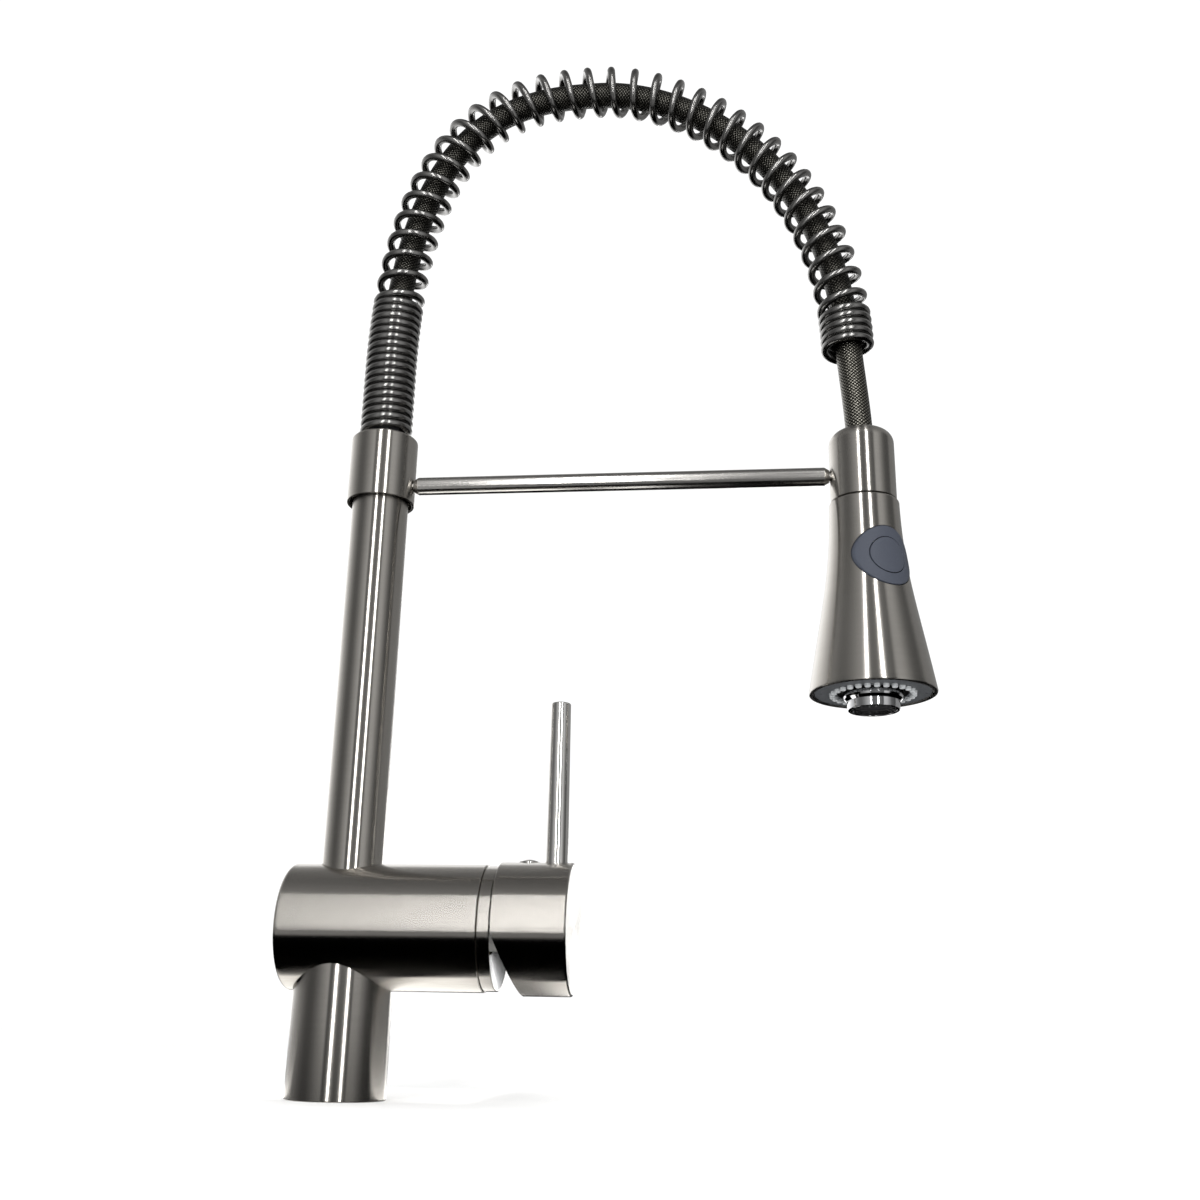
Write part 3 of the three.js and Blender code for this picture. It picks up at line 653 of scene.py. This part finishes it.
def handle_cap():
    outer = radius_of("handle_cap")
    left, right = ends_of("handle_cap", 0)
    solid, boss, boss_start = 92, 8.5, 81
    mouth, mouth_end = 28.9, 82
    piece = lathe("cap", rounded([
        (0, boss_start, 0), (boss, boss_start, 0.4), (boss, solid, 0), (CAP_CAVITY, solid, 1),
        (CAP_CAVITY, mouth_end, 0), (mouth, mouth_end, 0), (mouth, left, 0.2), (outer, left, 0.4),
        (outer, right, 1.2), (0, right, 0),
    ]), FINE_SIDES, ALONG_MIXER)
    rod_hole = cylinder(5.65, 22.3, 34, standing_on_cap(LEVER_ALONG))
    plug_hole = cylinder(4.3, 25, 34, standing_on_cap(SCREW_ALONG))
    screw_hole = cylinder(2.3, 3, 12, standing_on_cap(SCREW_ALONG), 32)
    socket = block((80, -4.3, MIXER_HEIGHT - 3.8), (98.4, 4.3, MIXER_HEIGHT + 3.8))
    cut(piece, slant_cutter(left), rod_hole, plug_hole, screw_hole, socket)
    stand_for(smooth(piece), "handle_cap", nickel_barrel)


def lever_rod():
    low, high = (z - MIXER_HEIGHT for z in ends_of("lever_rod"))
    piece = lathe("rod", rounded([
        (0, low, 0), (5.45, low, 0.5), (5.45, low + 9, 0), (4.95, high, 0.8), (0, high, 0),
    ]), SMALL_SIDES, standing_on_cap(LEVER_ALONG))
    stand_for(smooth(piece), "lever_rod")


def index_plug():
    """A lens-shaped index button with fine rings turned into it."""
    low, high = (z - MIXER_HEIGHT for z in ends_of("index_plug"))
    rim, seat, edge, groove, grooves, steps = 4.75, 30.7, 0.08, 0.07, 4, 40
    dome = []
    for k in range(steps + 1):
        out = 1 - k / steps
        ripple = groove * math.cos(2 * math.pi * grooves * out) - groove
        dome.append((rim * out, seat + edge + (high - seat - edge) * (1 - out ** 2) + ripple * (out < 1)))
    outline = [(0, low), (4, low), (4, seat), (rim - 0.05, seat), *dome]
    piece = lathe("plug", outline, SMALL_SIDES, standing_on_cap(SCREW_ALONG))
    stand_for(smooth(piece), "index_plug")


# ---------------------------------------------------------------- collar, arm and docking ring

def docking_collar():
    outer = radius_of("docking_collar")
    low, high = ends_of("docking_collar")
    inner, roof, hose_hole = 16.3, 324, 7.6
    piece = lathe("collar", rounded([
        (inner, low, 0.2), (outer, low, 0.35), (outer, high, 1.2), (hose_hole, high, 0.5),
        (hose_hole, roof, 0), (inner, roof, 0),
    ]))
    cut(piece, cylinder(2.7, 12, 20, ALONG_ARM, 32))
    stand_for(smooth(piece), "docking_collar")


def arm_rod():
    left, right = ends_of("arm_rod", 0)
    stub, neck, outer, taper = 2.5, 3.3, radius_of("arm_rod"), 2.4
    left_face, right_face = left + 1, right - 2.5
    piece = lathe("arm", rounded([
        (0, left, 0), (stub, left, 0), (stub, left_face, 0), (neck, left_face, 0.15),
        (outer, left_face + taper, 0.5), (outer, right_face - taper, 0.5), (neck, right_face, 0.15),
        (stub, right_face, 0), (stub, right, 0), (0, right, 0),
    ]), SMALL_SIDES, ALONG_ARM)
    stand_for(smooth(piece), "arm_rod", arm_steel)


def holder_ring():
    outer = radius_of("holder_ring")
    low, high = ends_of("holder_ring")
    bore, roof, hose_hole = 13.5, 318, 8.5
    piece = lathe("holder", rounded([
        (bore, low, 0.3), (outer, low, 0.4), (outer, high, 7), (hose_hole, high, 0.6),
        (hose_hole, roof, 0), (bore, roof, 0),
    ], 12), SIDES, AT_DOCK)
    cut(piece, cylinder(2.7, -18, -12, AT_DOCK @ ALONG_ARM, 32))
    stand_for(smooth(piece), "holder_ring")


# ---------------------------------------------------------------- spring and hose

def bezier(points, steps=400):
    t = np.linspace(0, 1, steps)[:, None]
    a, b, c, d = (np.array(p, float) for p in points)
    return (1 - t) ** 3 * a + 3 * (1 - t) ** 2 * t * b + 3 * (1 - t) * t ** 2 * c + t ** 3 * d


class Arch:
    """The spring's centre line: a straight leg, an easy bend up to the apex and one down to the end."""

    def __init__(self):
        rise = bezier([(0, LEG_TOP), (0, LEG_TOP + 174), (APEX[0] - 40, APEX[1]), APEX])
        fall = bezier([APEX, (APEX[0] + 54, APEX[1]), (ARCH_END[0], ARCH_END[1] + 115), ARCH_END])
        leg = np.linspace((0, ARCH_START), (0, LEG_TOP), 40)
        self.points = np.concatenate([leg, rise[1:], fall[1:]])
        steps = np.linalg.norm(np.diff(self.points, axis=0), axis=1)
        self.along = np.concatenate([[0], np.cumsum(steps)])
        self.length = self.along[-1]
        slope = np.gradient(self.points, self.along, axis=0)
        self.slope = slope / np.linalg.norm(slope, axis=1)[:, None]

    def at(self, distance):
        """Points and tangents at these distances, as (x, 0, z) rows."""
        point = np.zeros((len(distance), 3))
        slope = np.zeros((len(distance), 3))
        for column, axis in enumerate((0, 2)):
            point[:, axis] = np.interp(distance, self.along, self.points[:, column])
            slope[:, axis] = np.interp(distance, self.along, self.slope[:, column])
        return point, slope


arch = Arch()


def spring_coil():
    """A right-handed helix wound round the arch, closed at both ends and open in between."""
    steps_per_turn, wire_sides, first = 40, 14, 2.15
    turns = CLOSED_COILS_LEFT + OPEN_COILS + CLOSED_COILS_RIGHT
    closed = (CLOSED_COILS_LEFT + CLOSED_COILS_RIGHT) * CLOSED_PITCH
    open_pitch = (arch.length - 2 * first - closed) / OPEN_COILS
    turn = np.linspace(0, turns, round(turns * steps_per_turn) + 1)
    left = np.minimum(turn, CLOSED_COILS_LEFT)
    middle = np.clip(turn - CLOSED_COILS_LEFT, 0, OPEN_COILS)
    right = np.maximum(turn - CLOSED_COILS_LEFT - OPEN_COILS, 0)
    centre, slope = arch.at(first + (left + right) * CLOSED_PITCH + middle * open_pitch)
    across = np.stack([slope[:, 2], np.zeros(len(turn)), -slope[:, 0]], axis=1)
    angle = 2 * math.pi * turn[:, None]
    out = across * np.cos(angle) + np.array([0, 1, 0]) * np.sin(angle)
    piece = tube("spring", centre + out * COIL_RADIUS, out, WIRE_RADIUS, wire_sides)
    stand_for(smooth(piece, 60), "spring_coil")


def braid_height(turn, along):
    """Relief of the woven sleeve in millimetres, from turns round the hose and millimetres along it."""
    around = turn * BRAID_STRANDS
    climb = along * BRAID_STRANDS / BRAID_LEAD
    heights = []
    for mine, crossing, start in ((around + climb, around - climb, 0), (around - climb, around + climb, 1)):
        number = np.floor(mine)
        over = np.cos(math.pi * (crossing + number + start - 0.5))
        crown = np.sin(math.pi * (mine - number))
        heights.append(WEAVE_LIFT * over + STRAND_CROWN * crown)
    relief, middle = 0.16, 0.4
    return relief * (np.maximum(*heights) - middle)


def hose_path():
    """The hose's centre line: up the riser, along the arch on the spring's lower side, and down."""
    leg_step, fine_step = 6.0, 0.5
    riser = np.arange(HOSE_START, ARCH_START, leg_step)
    distance = np.concatenate([np.arange(0, 75, leg_step), np.arange(78, arch.length, fine_step)])
    point, slope = arch.at(distance)
    point[:, 2] -= HOSE_SAG * slope[:, 0] ** 2
    past_tail = (point[:, 0] > APEX[0]) & (point[:, 2] < TAIL_TOP + 10)
    point = point[~past_tail]
    up_riser = np.stack([np.zeros(len(riser)), np.zeros(len(riser)), riser], axis=1)
    last = point[-1]
    drop = np.linspace(1, 0, 20)[:-1][::-1]
    end = np.array([ARCH_END[0], 0, TAIL_TOP + 0.3])
    tail = np.stack([end + (last - end) * (1 - d) * np.array([1 - d, 0, 1]) for d in drop])
    return np.concatenate([up_riser, point, tail])


def hose_arch():
    piece = tube("hose", hose_path(), (0, -1, 0), HOSE_RADIUS, 96, braid_height)
    stand_for(smooth(piece, 75), "hose_arch")


def hose_tail():
    """The hose between the spring's end and the spray head, which draws out as the head is pulled."""
    path = bezier([(ARCH_END[0], TAIL_TOP), (ARCH_END[0], TAIL_TOP - 26),
                   (REACH, TAIL_BOTTOM + 40), (REACH, TAIL_BOTTOM)], 120)
    path = np.stack([path[:, 0], np.zeros(len(path)), path[:, 1]], axis=1)
    piece = tube("tail", path, (0, -1, 0), HOSE_RADIUS, 96)
    stand_for(smooth(piece, 75), "hose_tail", braid_tail, ride=False)
    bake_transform(piece)


# ---------------------------------------------------------------- spray head

SHELL_TOP = 287.1
SHELL_WALL = 1.8
TRUMPET = [(17.5, SHELL_TOP - 0.8), (18.2, 250), (22.6, 236), (30.6, 189.3)]
trumpet_line = bezier(TRUMPET, 70)


def trumpet_radius(z):
    """Outer radius of the trumpet at a height."""
    return np.interp(z, trumpet_line[::-1, 1], trumpet_line[::-1, 0])


def pad_cutter(radius):
    turn = Matrix.Rotation(math.radians(90), 4, "X")
    return cylinder(radius, 2, 40, TO_PAD @ turn, 96)


def spray_shell():
    throat, ledge = 10.5, 285
    top = rounded([(throat, ledge, 0), (throat, SHELL_TOP, 0.3), (17.5, SHELL_TOP, 0.9), (17.6, 280, 0)])
    outside = [(r, z) for r, z in trumpet_line if z < SHELL_TOP - 1.5]
    rim = [(30.55, 188.8), (30.35, 188.5), (30.0, 188.4), (28.5, 188.4), (28.25, 188.55), (28.2, 188.8),
           (28.2, 192.6)]
    inside = [(r - SHELL_WALL, z) for r, z in trumpet_line if 194 < z < 284][::-1]
    outline = [(throat, ledge), *top[1:-1], *outside, *rim, *inside, (15.6, ledge)]
    piece = lathe("shell", outline, FINE_SIDES, AT_DOCK)
    cut(piece, pad_cutter(PAD_RADIUS + 0.25))
    stand_for(smooth(piece, 40), "spray_shell")


def on_trumpet(across, up, proud):
    """The point that stands proud of the trumpet, seen along the pad's direction."""
    z = PAD_HEIGHT + up
    radius = trumpet_radius(z) + proud
    depth = np.sqrt(np.maximum(radius ** 2 - across ** 2, 0))
    x = REACH + across * math.cos(PAD_TURN) + depth * math.sin(PAD_TURN)
    y = across * math.sin(PAD_TURN) - depth * math.cos(PAD_TURN)
    return np.stack([x, y, z], axis=-1)


def trumpet_disc(name, profile, sides=144):
    """A disc or ring wrapped on the trumpet, from a closed profile of (distance from its middle,
    height above the trumpet) points."""
    turn = np.arange(sides) * 2 * math.pi / sides
    rings = [on_trumpet(r * np.cos(turn), r * np.sin(turn), proud) for r, proud in profile]
    count = len(rings)
    faces = [(i * sides + k, i * sides + (k + 1) % sides,
              (i + 1) % count * sides + (k + 1) % sides, (i + 1) % count * sides + k)
             for i in range(count) for k in range(sides)]
    piece = new_object(name, np.concatenate(rings), faces)
    work = bmesh.new()
    work.from_mesh(piece.data)
    bmesh.ops.remove_doubles(work, verts=work.verts, dist=0.00002)
    work.to_mesh(piece.data)
    work.free()
    face_outwards(piece)
    return piece


PAD_PROUD = 0.7


def button_pad():
    inner, outer = BUTTON_RADIUS + 0.35, PAD_RADIUS - 0.1
    span = np.linspace(outer - 1, inner + 0.5, 8)
    top = [(r, PAD_PROUD) for r in span]
    low = -1.6
    profile = rounded([(outer, low, 0), (outer, PAD_PROUD, 0.7), (inner, PAD_PROUD, 0.3), (inner, low, 0)])
    bend = [p for p in profile if p[0] > outer - 0.8 or p[0] < inner + 0.4]
    outer_edge = [p for p in bend if p[0] > (inner + outer) / 2]
    inner_edge = [p for p in bend if p[0] < (inner + outer) / 2]
    piece = trumpet_disc("pad", outer_edge + top + inner_edge)
    stand_for(smooth(piece), "button_pad")


def spray_button():
    """The button's face is dished a little inside its rounded edge."""
    dish, edge, low, rim = 0.12, 0.2, -1.9, 8
    middle = 0.02
    proud = PAD_PROUD + 0.15
    face = [(r, proud - dish * (1 - (r / rim) ** 2)) for r in np.linspace(rim, middle, 14)]
    profile = rounded([(BUTTON_RADIUS, low, 0), (BUTTON_RADIUS, proud, edge), (rim, proud, 0)])
    piece = trumpet_disc("button", profile[:-1] + face + [(middle, low)])
    stand_for(smooth(piece), "spray_button")


def nib_places():
    turns = np.arange(NIB_COUNT) * 2 * math.pi / NIB_COUNT
    return [(NIB_RING * math.cos(t), NIB_RING * math.sin(t)) for t in turns]


def joined(pieces):
    """Makes one object of several."""
    work = bmesh.new()
    for piece in pieces:
        work.from_mesh(piece.data)
        bpy.data.objects.remove(piece)
    mesh = bpy.data.meshes.new("joined")
    work.to_mesh(mesh)
    work.free()
    made = bpy.data.objects.new("joined", mesh)
    bpy.context.scene.collection.objects.link(made)
    return made


def spray_face():
    """The face ring, with a hole for each nib and a pair of pull-out slots near its rim."""
    outer, top = 27.9, 191.4
    piece = lathe("face", rounded([
        (14.7, FACE_BOTTOM + 1.8, 0.2), (RECESS_RADIUS - 0.2, FACE_BOTTOM + 1.8, 0.2),
        (RECESS_RADIUS, FACE_BOTTOM, 0.3),
        (outer, FACE_BOTTOM, 0.35), (outer, top, 0), (14.7, top, 0),
    ], 4), 160, AT_DOCK)
    holes = [cylinder(1.75, FACE_BOTTOM - 2, top + 2, Matrix.Translation((REACH + x, y, 0)), 24)
             for x, y in nib_places()]
    slots = []
    for side in (-1, 1):
        slot = block((-0.9, -0.45, FACE_BOTTOM - 1), (0.9, 0.45, FACE_BOTTOM + 1.2))
        turn = Matrix.Rotation(math.radians(90 + side * 90), 4, "Z") @ Matrix.Translation((25.2, 0, 0))
        move(slot, AT_DOCK @ turn)
        slots.append(slot)
    cut(piece, joined(holes), joined(slots))
    stand_for(smooth(piece), "spray_face")


def nozzle_mat():
    """Soft nibs on a ring-shaped mat, each with a fine jet hole."""
    low, base, top, inner, outer = FACE_BOTTOM - 1.5, 191.7, 193.2, 15.2, 25
    mat = lathe("mat", rounded([
        (inner, base, 0), (outer, base, 0), (outer, top, 0.2), (inner, top, 0.2),
    ]), SIDES, AT_DOCK)
    nibs = []
    for x, y in nib_places():
        outline = rounded([
            (0, base + 0.5, 0), (0, low + 0.8, 0), (0.45, low + 0.8, 0), (0.45, low, 0.1), (1.4, low, 0.45),
            (1.6, base + 0.5, 0),
        ], 4)
        nibs.append(lathe("nib", outline, 24, Matrix.Translation((REACH + x, y, 0))))
    combine(mat, "UNION", joined(nibs))
    stand_for(smooth(mat), "nozzle_mat")


def aerator_nut():
    """The bright nozzle, wider where it enters the face."""
    bore, top = 10.8, 193.2
    piece = lathe("nozzle", rounded([
        (bore, MOUTH_BOTTOM, 0.3), (12.2, MOUTH_BOTTOM, 0.4), (12.5, MOUTH_BOTTOM + 1, 0),
        (12.7, 184.6, 0.3), (13.9, 186.0, 0.3), (14.3, 187, 0.2), (14.3, top, 0), (bore, top, 0),
    ]), SIDES, AT_DOCK)
    stand_for(smooth(piece), "aerator_nut")


def aerator_insert():
    """The aerator's screen: a disc with a lattice of fine holes."""
    low, high = ends_of("aerator_insert")
    radius, inner, field, pitch, bar_width = 10.4, 9.4, 9.6, 1.6, 0.35
    rim = lathe("screen", rounded([
        (inner, low, 0.2), (radius, low, 0.3), (radius, high, 0), (inner, high, 0),
    ]), SMALL_SIDES, AT_DOCK)
    back_low, back_high = low + 2.2, high - 0.2
    back = lathe("back", [(0, back_low), (field, back_low), (field, back_high), (0, back_high)],
                 SMALL_SIDES, AT_DOCK)
    bars = []
    for k in range(-5, 6):
        half = math.sqrt(field ** 2 - (k * pitch) ** 2)
        side, other_side = k * pitch - bar_width / 2, k * pitch + bar_width / 2
        bars.append(block((-half, side, low + 0.5), (half, other_side, low + 1.1), AT_DOCK))
        bars.append(block((side, -half, low + 0.9), (other_side, half, low + 1.5), AT_DOCK))
    stand_for(smooth(joined([rim, back, *bars])), "aerator_insert")


# ---------------------------------------------------------------- plain turned pieces

# Corners (radius, height, fillet) of the small turned pieces that show when the head is pulled out
# or the handle is lifted, each with its place.
PLAIN_TURNED = {
    "holder_liner": (AT_DOCK, [
        (10.6, 288.4, 0.3), (13.2, 288.4, 0.2), (13.2, 314, 0.2), (10.6, 314, 0.8)]),
    "hose_ferrule": (AT_DOCK, [
        (3, 300.5, 0), (8.8, 300.5, 0.4), (8.8, 316, 0.5), (7.35, 316, 0.2), (7.35, 303.7, 0),
        (3, 303.7, 0)]),
    "hose_nut": (AT_DOCK, [
        (3, 283, 0), (6, 283, 0.3), (6, 287, 0.1), (4.8, 287, 0), (4.8, 289, 0), (6, 289, 0.1), (6, 296, 0),
        (9, 296, 0.2), (9.6, 297, 0.2), (9.6, 300.2, 0.4), (3, 300.2, 0)]),
    "swivel_o_ring": (AT_DOCK, [
        (5.1, 287.3, 0.4), (6.2, 287.3, 0.5), (6.2, 288.7, 0.5), (5.1, 288.7, 0.4)]),
    "spring_seat": (ON_RISER, [
        (7.4, 329.8, 0), (8.7, 329.8, 0.2), (8.7, 345, 0.4), (7.4, 345, 0.2)]),
    "collar_bush": (ON_RISER, [
        (14.8, 306, 0.1), (16, 306, 0.1), (16, 323, 0.1), (14.8, 323, 0.1)]),
    "hose_inlet_ferrule": (ON_RISER, [
        (4.6, 101.3, 0), (8.6, 101.3, 0.4), (8.6, 134, 0.4), (7.35, 134, 0.1), (7.35, 121.1, 0),
        (4.6, 121.1, 0)]),
}


def plain_turned():
    for node, (place, corners) in PLAIN_TURNED.items():
        stand_for(smooth(lathe(node, rounded(corners, 4), SMALL_SIDES, place)), node)


# ---------------------------------------------------------------- build

for make in (
    base_column, mixer_barrel, trim_ring, riser_tube, handle_cap, lever_rod, index_plug, docking_collar,
    arm_rod, holder_ring, spring_coil, hose_arch, hose_tail, spray_shell, button_pad, spray_button,
    spray_face, nozzle_mat, aerator_nut, aerator_insert, plain_turned,
):
    make()

for node, piece in frame["nodes"].items():
    for holder in piece.material_slots:
        holder.material = materials[slot_of[node]]


# ---------------------------------------------------------------- studio

def flat_sheet(name, low, high, height):
    """A level rectangle between two (x, y) corners."""
    corners = [(low[0], low[1], height), (high[0], low[1], height), (high[0], high[1], height),
               (low[0], high[1], height)]
    return new_object(name, corners, [(0, 1, 2, 3)])


def floor():
    half = 4000
    piece = flat_sheet("floor", (-half, -half), (half, half), 0)
    m = Wiring("floor")
    m.set(roughness=0.9)
    m.color(m.noise((3, 3, 3)), (0.985, 0.985, 0.98), (0.97, 0.97, 0.965))
    piece.data.materials.append(m.material)
    piece.visible_glossy = False     # reflections see the cards and the studio instead


def ramp(tree, value, stops):
    """A grey ramp over 0 to 1 from (position, brightness) stops."""
    node = tree.nodes.new("ShaderNodeValToRGB")
    elements = node.color_ramp.elements
    while len(elements) > 1:
        elements.remove(elements[-1])
    for k, (position, brightness) in enumerate(stops):
        element = elements[0] if k == 0 else elements.new(position)
        element.position = position
        element.color = (brightness, brightness, brightness, 1)
    tree.links.new(value, node.inputs["Fac"])
    return node.outputs["Color"]


def glossy_card(name, low, high, height, brightness):
    """A flat card lying just above the deck that only reflections see."""
    piece = flat_sheet(name, low, high, height)
    material = bpy.data.materials.new(name)
    material.use_nodes = True
    tree = material.node_tree
    glow = tree.nodes.new("ShaderNodeEmission")
    glow.inputs["Color"].default_value = (1.0, 0.99, 0.97, 1)
    glow.inputs["Strength"].default_value = brightness
    tree.links.new(glow.outputs[0], tree.nodes["Material Output"].inputs["Surface"])
    piece.data.materials.append(material)
    for kind in ("camera", "diffuse", "transmission", "shadow"):
        setattr(piece, f"visible_{kind}", False)


PLAIN_WORLD = 1.08               # brightness of the background and of the soft light from it


def studio_world():
    """Pale all round, with the dark and light panels of a product studio seen only in reflections."""
    world = bpy.data.worlds.new("studio")
    bpy.context.scene.world = world
    world.use_nodes = True
    tree = world.node_tree
    link = tree.links.new

    def node(kind, **settings):
        made = tree.nodes.new(kind)
        for key, value in settings.items():
            setattr(made, key, value)
        return made

    def mix(blend_type, a, b):
        made = node("ShaderNodeMix", data_type="RGBA", blend_type=blend_type)
        made.inputs["Factor"].default_value = 1
        link(a, made.inputs[6])
        link(b, made.inputs[7])
        return made.outputs[2]

    direction = node("ShaderNodeSeparateXYZ")
    link(node("ShaderNodeTexCoord").outputs["Generated"], direction.inputs["Vector"])
    bearing = node("ShaderNodeMath", operation="ARCTAN2")
    link(direction.outputs["X"], bearing.inputs[0])
    front = node("ShaderNodeMath", operation="MULTIPLY")
    front.inputs[1].default_value = -1
    link(direction.outputs["Y"], front.inputs[0])
    link(front.outputs[0], bearing.inputs[1])
    turn = node("ShaderNodeMapRange")
    turn.inputs["From Min"].default_value = -math.pi
    turn.inputs["From Max"].default_value = math.pi
    link(bearing.outputs[0], turn.inputs["Value"])
    rise = node("ShaderNodeMapRange")
    rise.inputs["From Min"].default_value = -1
    link(direction.outputs["Z"], rise.inputs["Value"])

    def round_about(*stops):
        """A ramp from (bearing in degrees from the front towards +X, brightness) stops."""
        return ramp(tree, turn.outputs[0], [((degrees + 180) / 360, glow) for degrees, glow in stops])

    def up_and_down(*stops):
        """A ramp from (elevation in degrees, brightness) stops."""
        return ramp(tree, rise.outputs[0],
                    [((math.sin(math.radians(degrees)) + 1) / 2, glow) for degrees, glow in stops])

    # The walls that the metal reflects: pale at the left rear, dark at the left front, paler up to an
    # edge near the camera, dark past it, pale at the right front, dark at the right and grey at the
    # right rear. The stops were tuned to how bright the photo's riser is at these bearings.
    walls = round_about(
        (-180, 0.6), (-168, 1.5), (-150, 1.9), (-129, 1.5), (-117, 1.1), (-105, 0.8), (-92, 0.5),
        (-80, 0.3), (-68, 0.17), (-56, 0.17), (-44, 0.3), (-32, 0.52), (-18, 0.75), (-16, 0.15),
        (0, 0.18), (17, 0.26), (37, 0.12), (41, 0.75), (54, 0.7), (65, 0.42), (77, 0.17), (89, 0.13),
        (101, 0.09), (104, 0.34), (150, 0.34), (180, 0.45))
    below_ceiling = up_and_down((-90, 1.0), (38, 1.0), (39, 0.0), (90, 0.0))
    ceiling = up_and_down((-90, 0.0), (38, 0.0), (39, 0.46), (60, 0.28), (90, 0.13))
    behind = round_about((-180, 0.0), (158, 0.0), (162, 1.0), (180, 1.0))
    back_glow = up_and_down((-90, 0.0), (1.2, 0.0), (1.8, 5.0), (7.0, 5.0), (7.6, 0.0), (90, 0.0))
    total = mix("ADD", mix("MULTIPLY", walls, below_ceiling), ceiling)
    total = mix("ADD", total, mix("MULTIPLY", behind, back_glow))
    seen = node("ShaderNodeMix", data_type="RGBA")
    link(node("ShaderNodeLightPath").outputs["Is Glossy Ray"], seen.inputs["Factor"])
    seen.inputs[6].default_value = (PLAIN_WORLD, PLAIN_WORLD, PLAIN_WORLD, 1)
    link(total, seen.inputs[7])
    link(seen.outputs[2], tree.nodes["Background"].inputs["Color"])


def light_panel(name, place, width, height, power):
    """A soft panel that faces the middle of the faucet. Places and sizes are in metres."""
    middle = 0.125
    data = bpy.data.lights.new(name, "AREA")
    data.shape = "RECTANGLE"
    data.size, data.size_y = width, height
    data.energy = power
    lamp = bpy.data.objects.new(name, data)
    lamp.location = place
    aim = Vector((middle, 0, place[2])) - Vector(place)
    lamp.rotation_mode = "QUATERNION"
    lamp.rotation_quaternion = aim.to_track_quat("-Z", "Y")
    lamp.visible_camera = False
    bpy.context.scene.collection.objects.link(lamp)


def camera():
    """Just above deck height, a little left of the spray head, looking up. Its place is in metres."""
    place = (0.1850, -0.6195, 0.0329)
    data = bpy.data.cameras.new("camera")
    data.sensor_width = 36
    data.lens = 39.03
    data.clip_start = 0.01
    view = bpy.data.objects.new("camera", data)
    yaw, pitch, roll = math.radians(-6.24), math.radians(18.26), math.radians(1.11)
    forward = Vector((math.sin(yaw) * math.cos(pitch), math.cos(yaw) * math.cos(pitch), math.sin(pitch)))
    level = Vector((math.cos(yaw), -math.sin(yaw), 0))
    above = level.cross(forward)
    right = math.cos(roll) * level + math.sin(roll) * above
    up = math.cos(roll) * above - math.sin(roll) * level
    view.matrix_world = Matrix.Translation(place) @ Matrix((right, up, -forward)).transposed().to_4x4()
    bpy.context.scene.collection.objects.link(view)
    bpy.context.scene.camera = view


PALE_CARD = 2.3                  # brightness of the cards under the barrel and the cap
STRIP_SIZE = (0.075, 1.6)        # width and height of the two light panels, in metres
STRIP_POWER = 6.0

floor()
studio_world()
glossy_card("dark card", (-1500, -220), (1500, 1500), 0.4, 0.0)
glossy_card("pale card", (-80, -6), (62, 140), 0.8, PALE_CARD)
glossy_card("pale card right", (92, -6), (125, 140), 0.8, PALE_CARD)
light_panel("left strip", (-0.02, -1.0, 0.7), *STRIP_SIZE, STRIP_POWER)
light_panel("right strip", (0.515, -1.0, 0.7), *STRIP_SIZE, STRIP_POWER)
camera()
bpy.context.scene.view_settings.view_transform = "Standard"
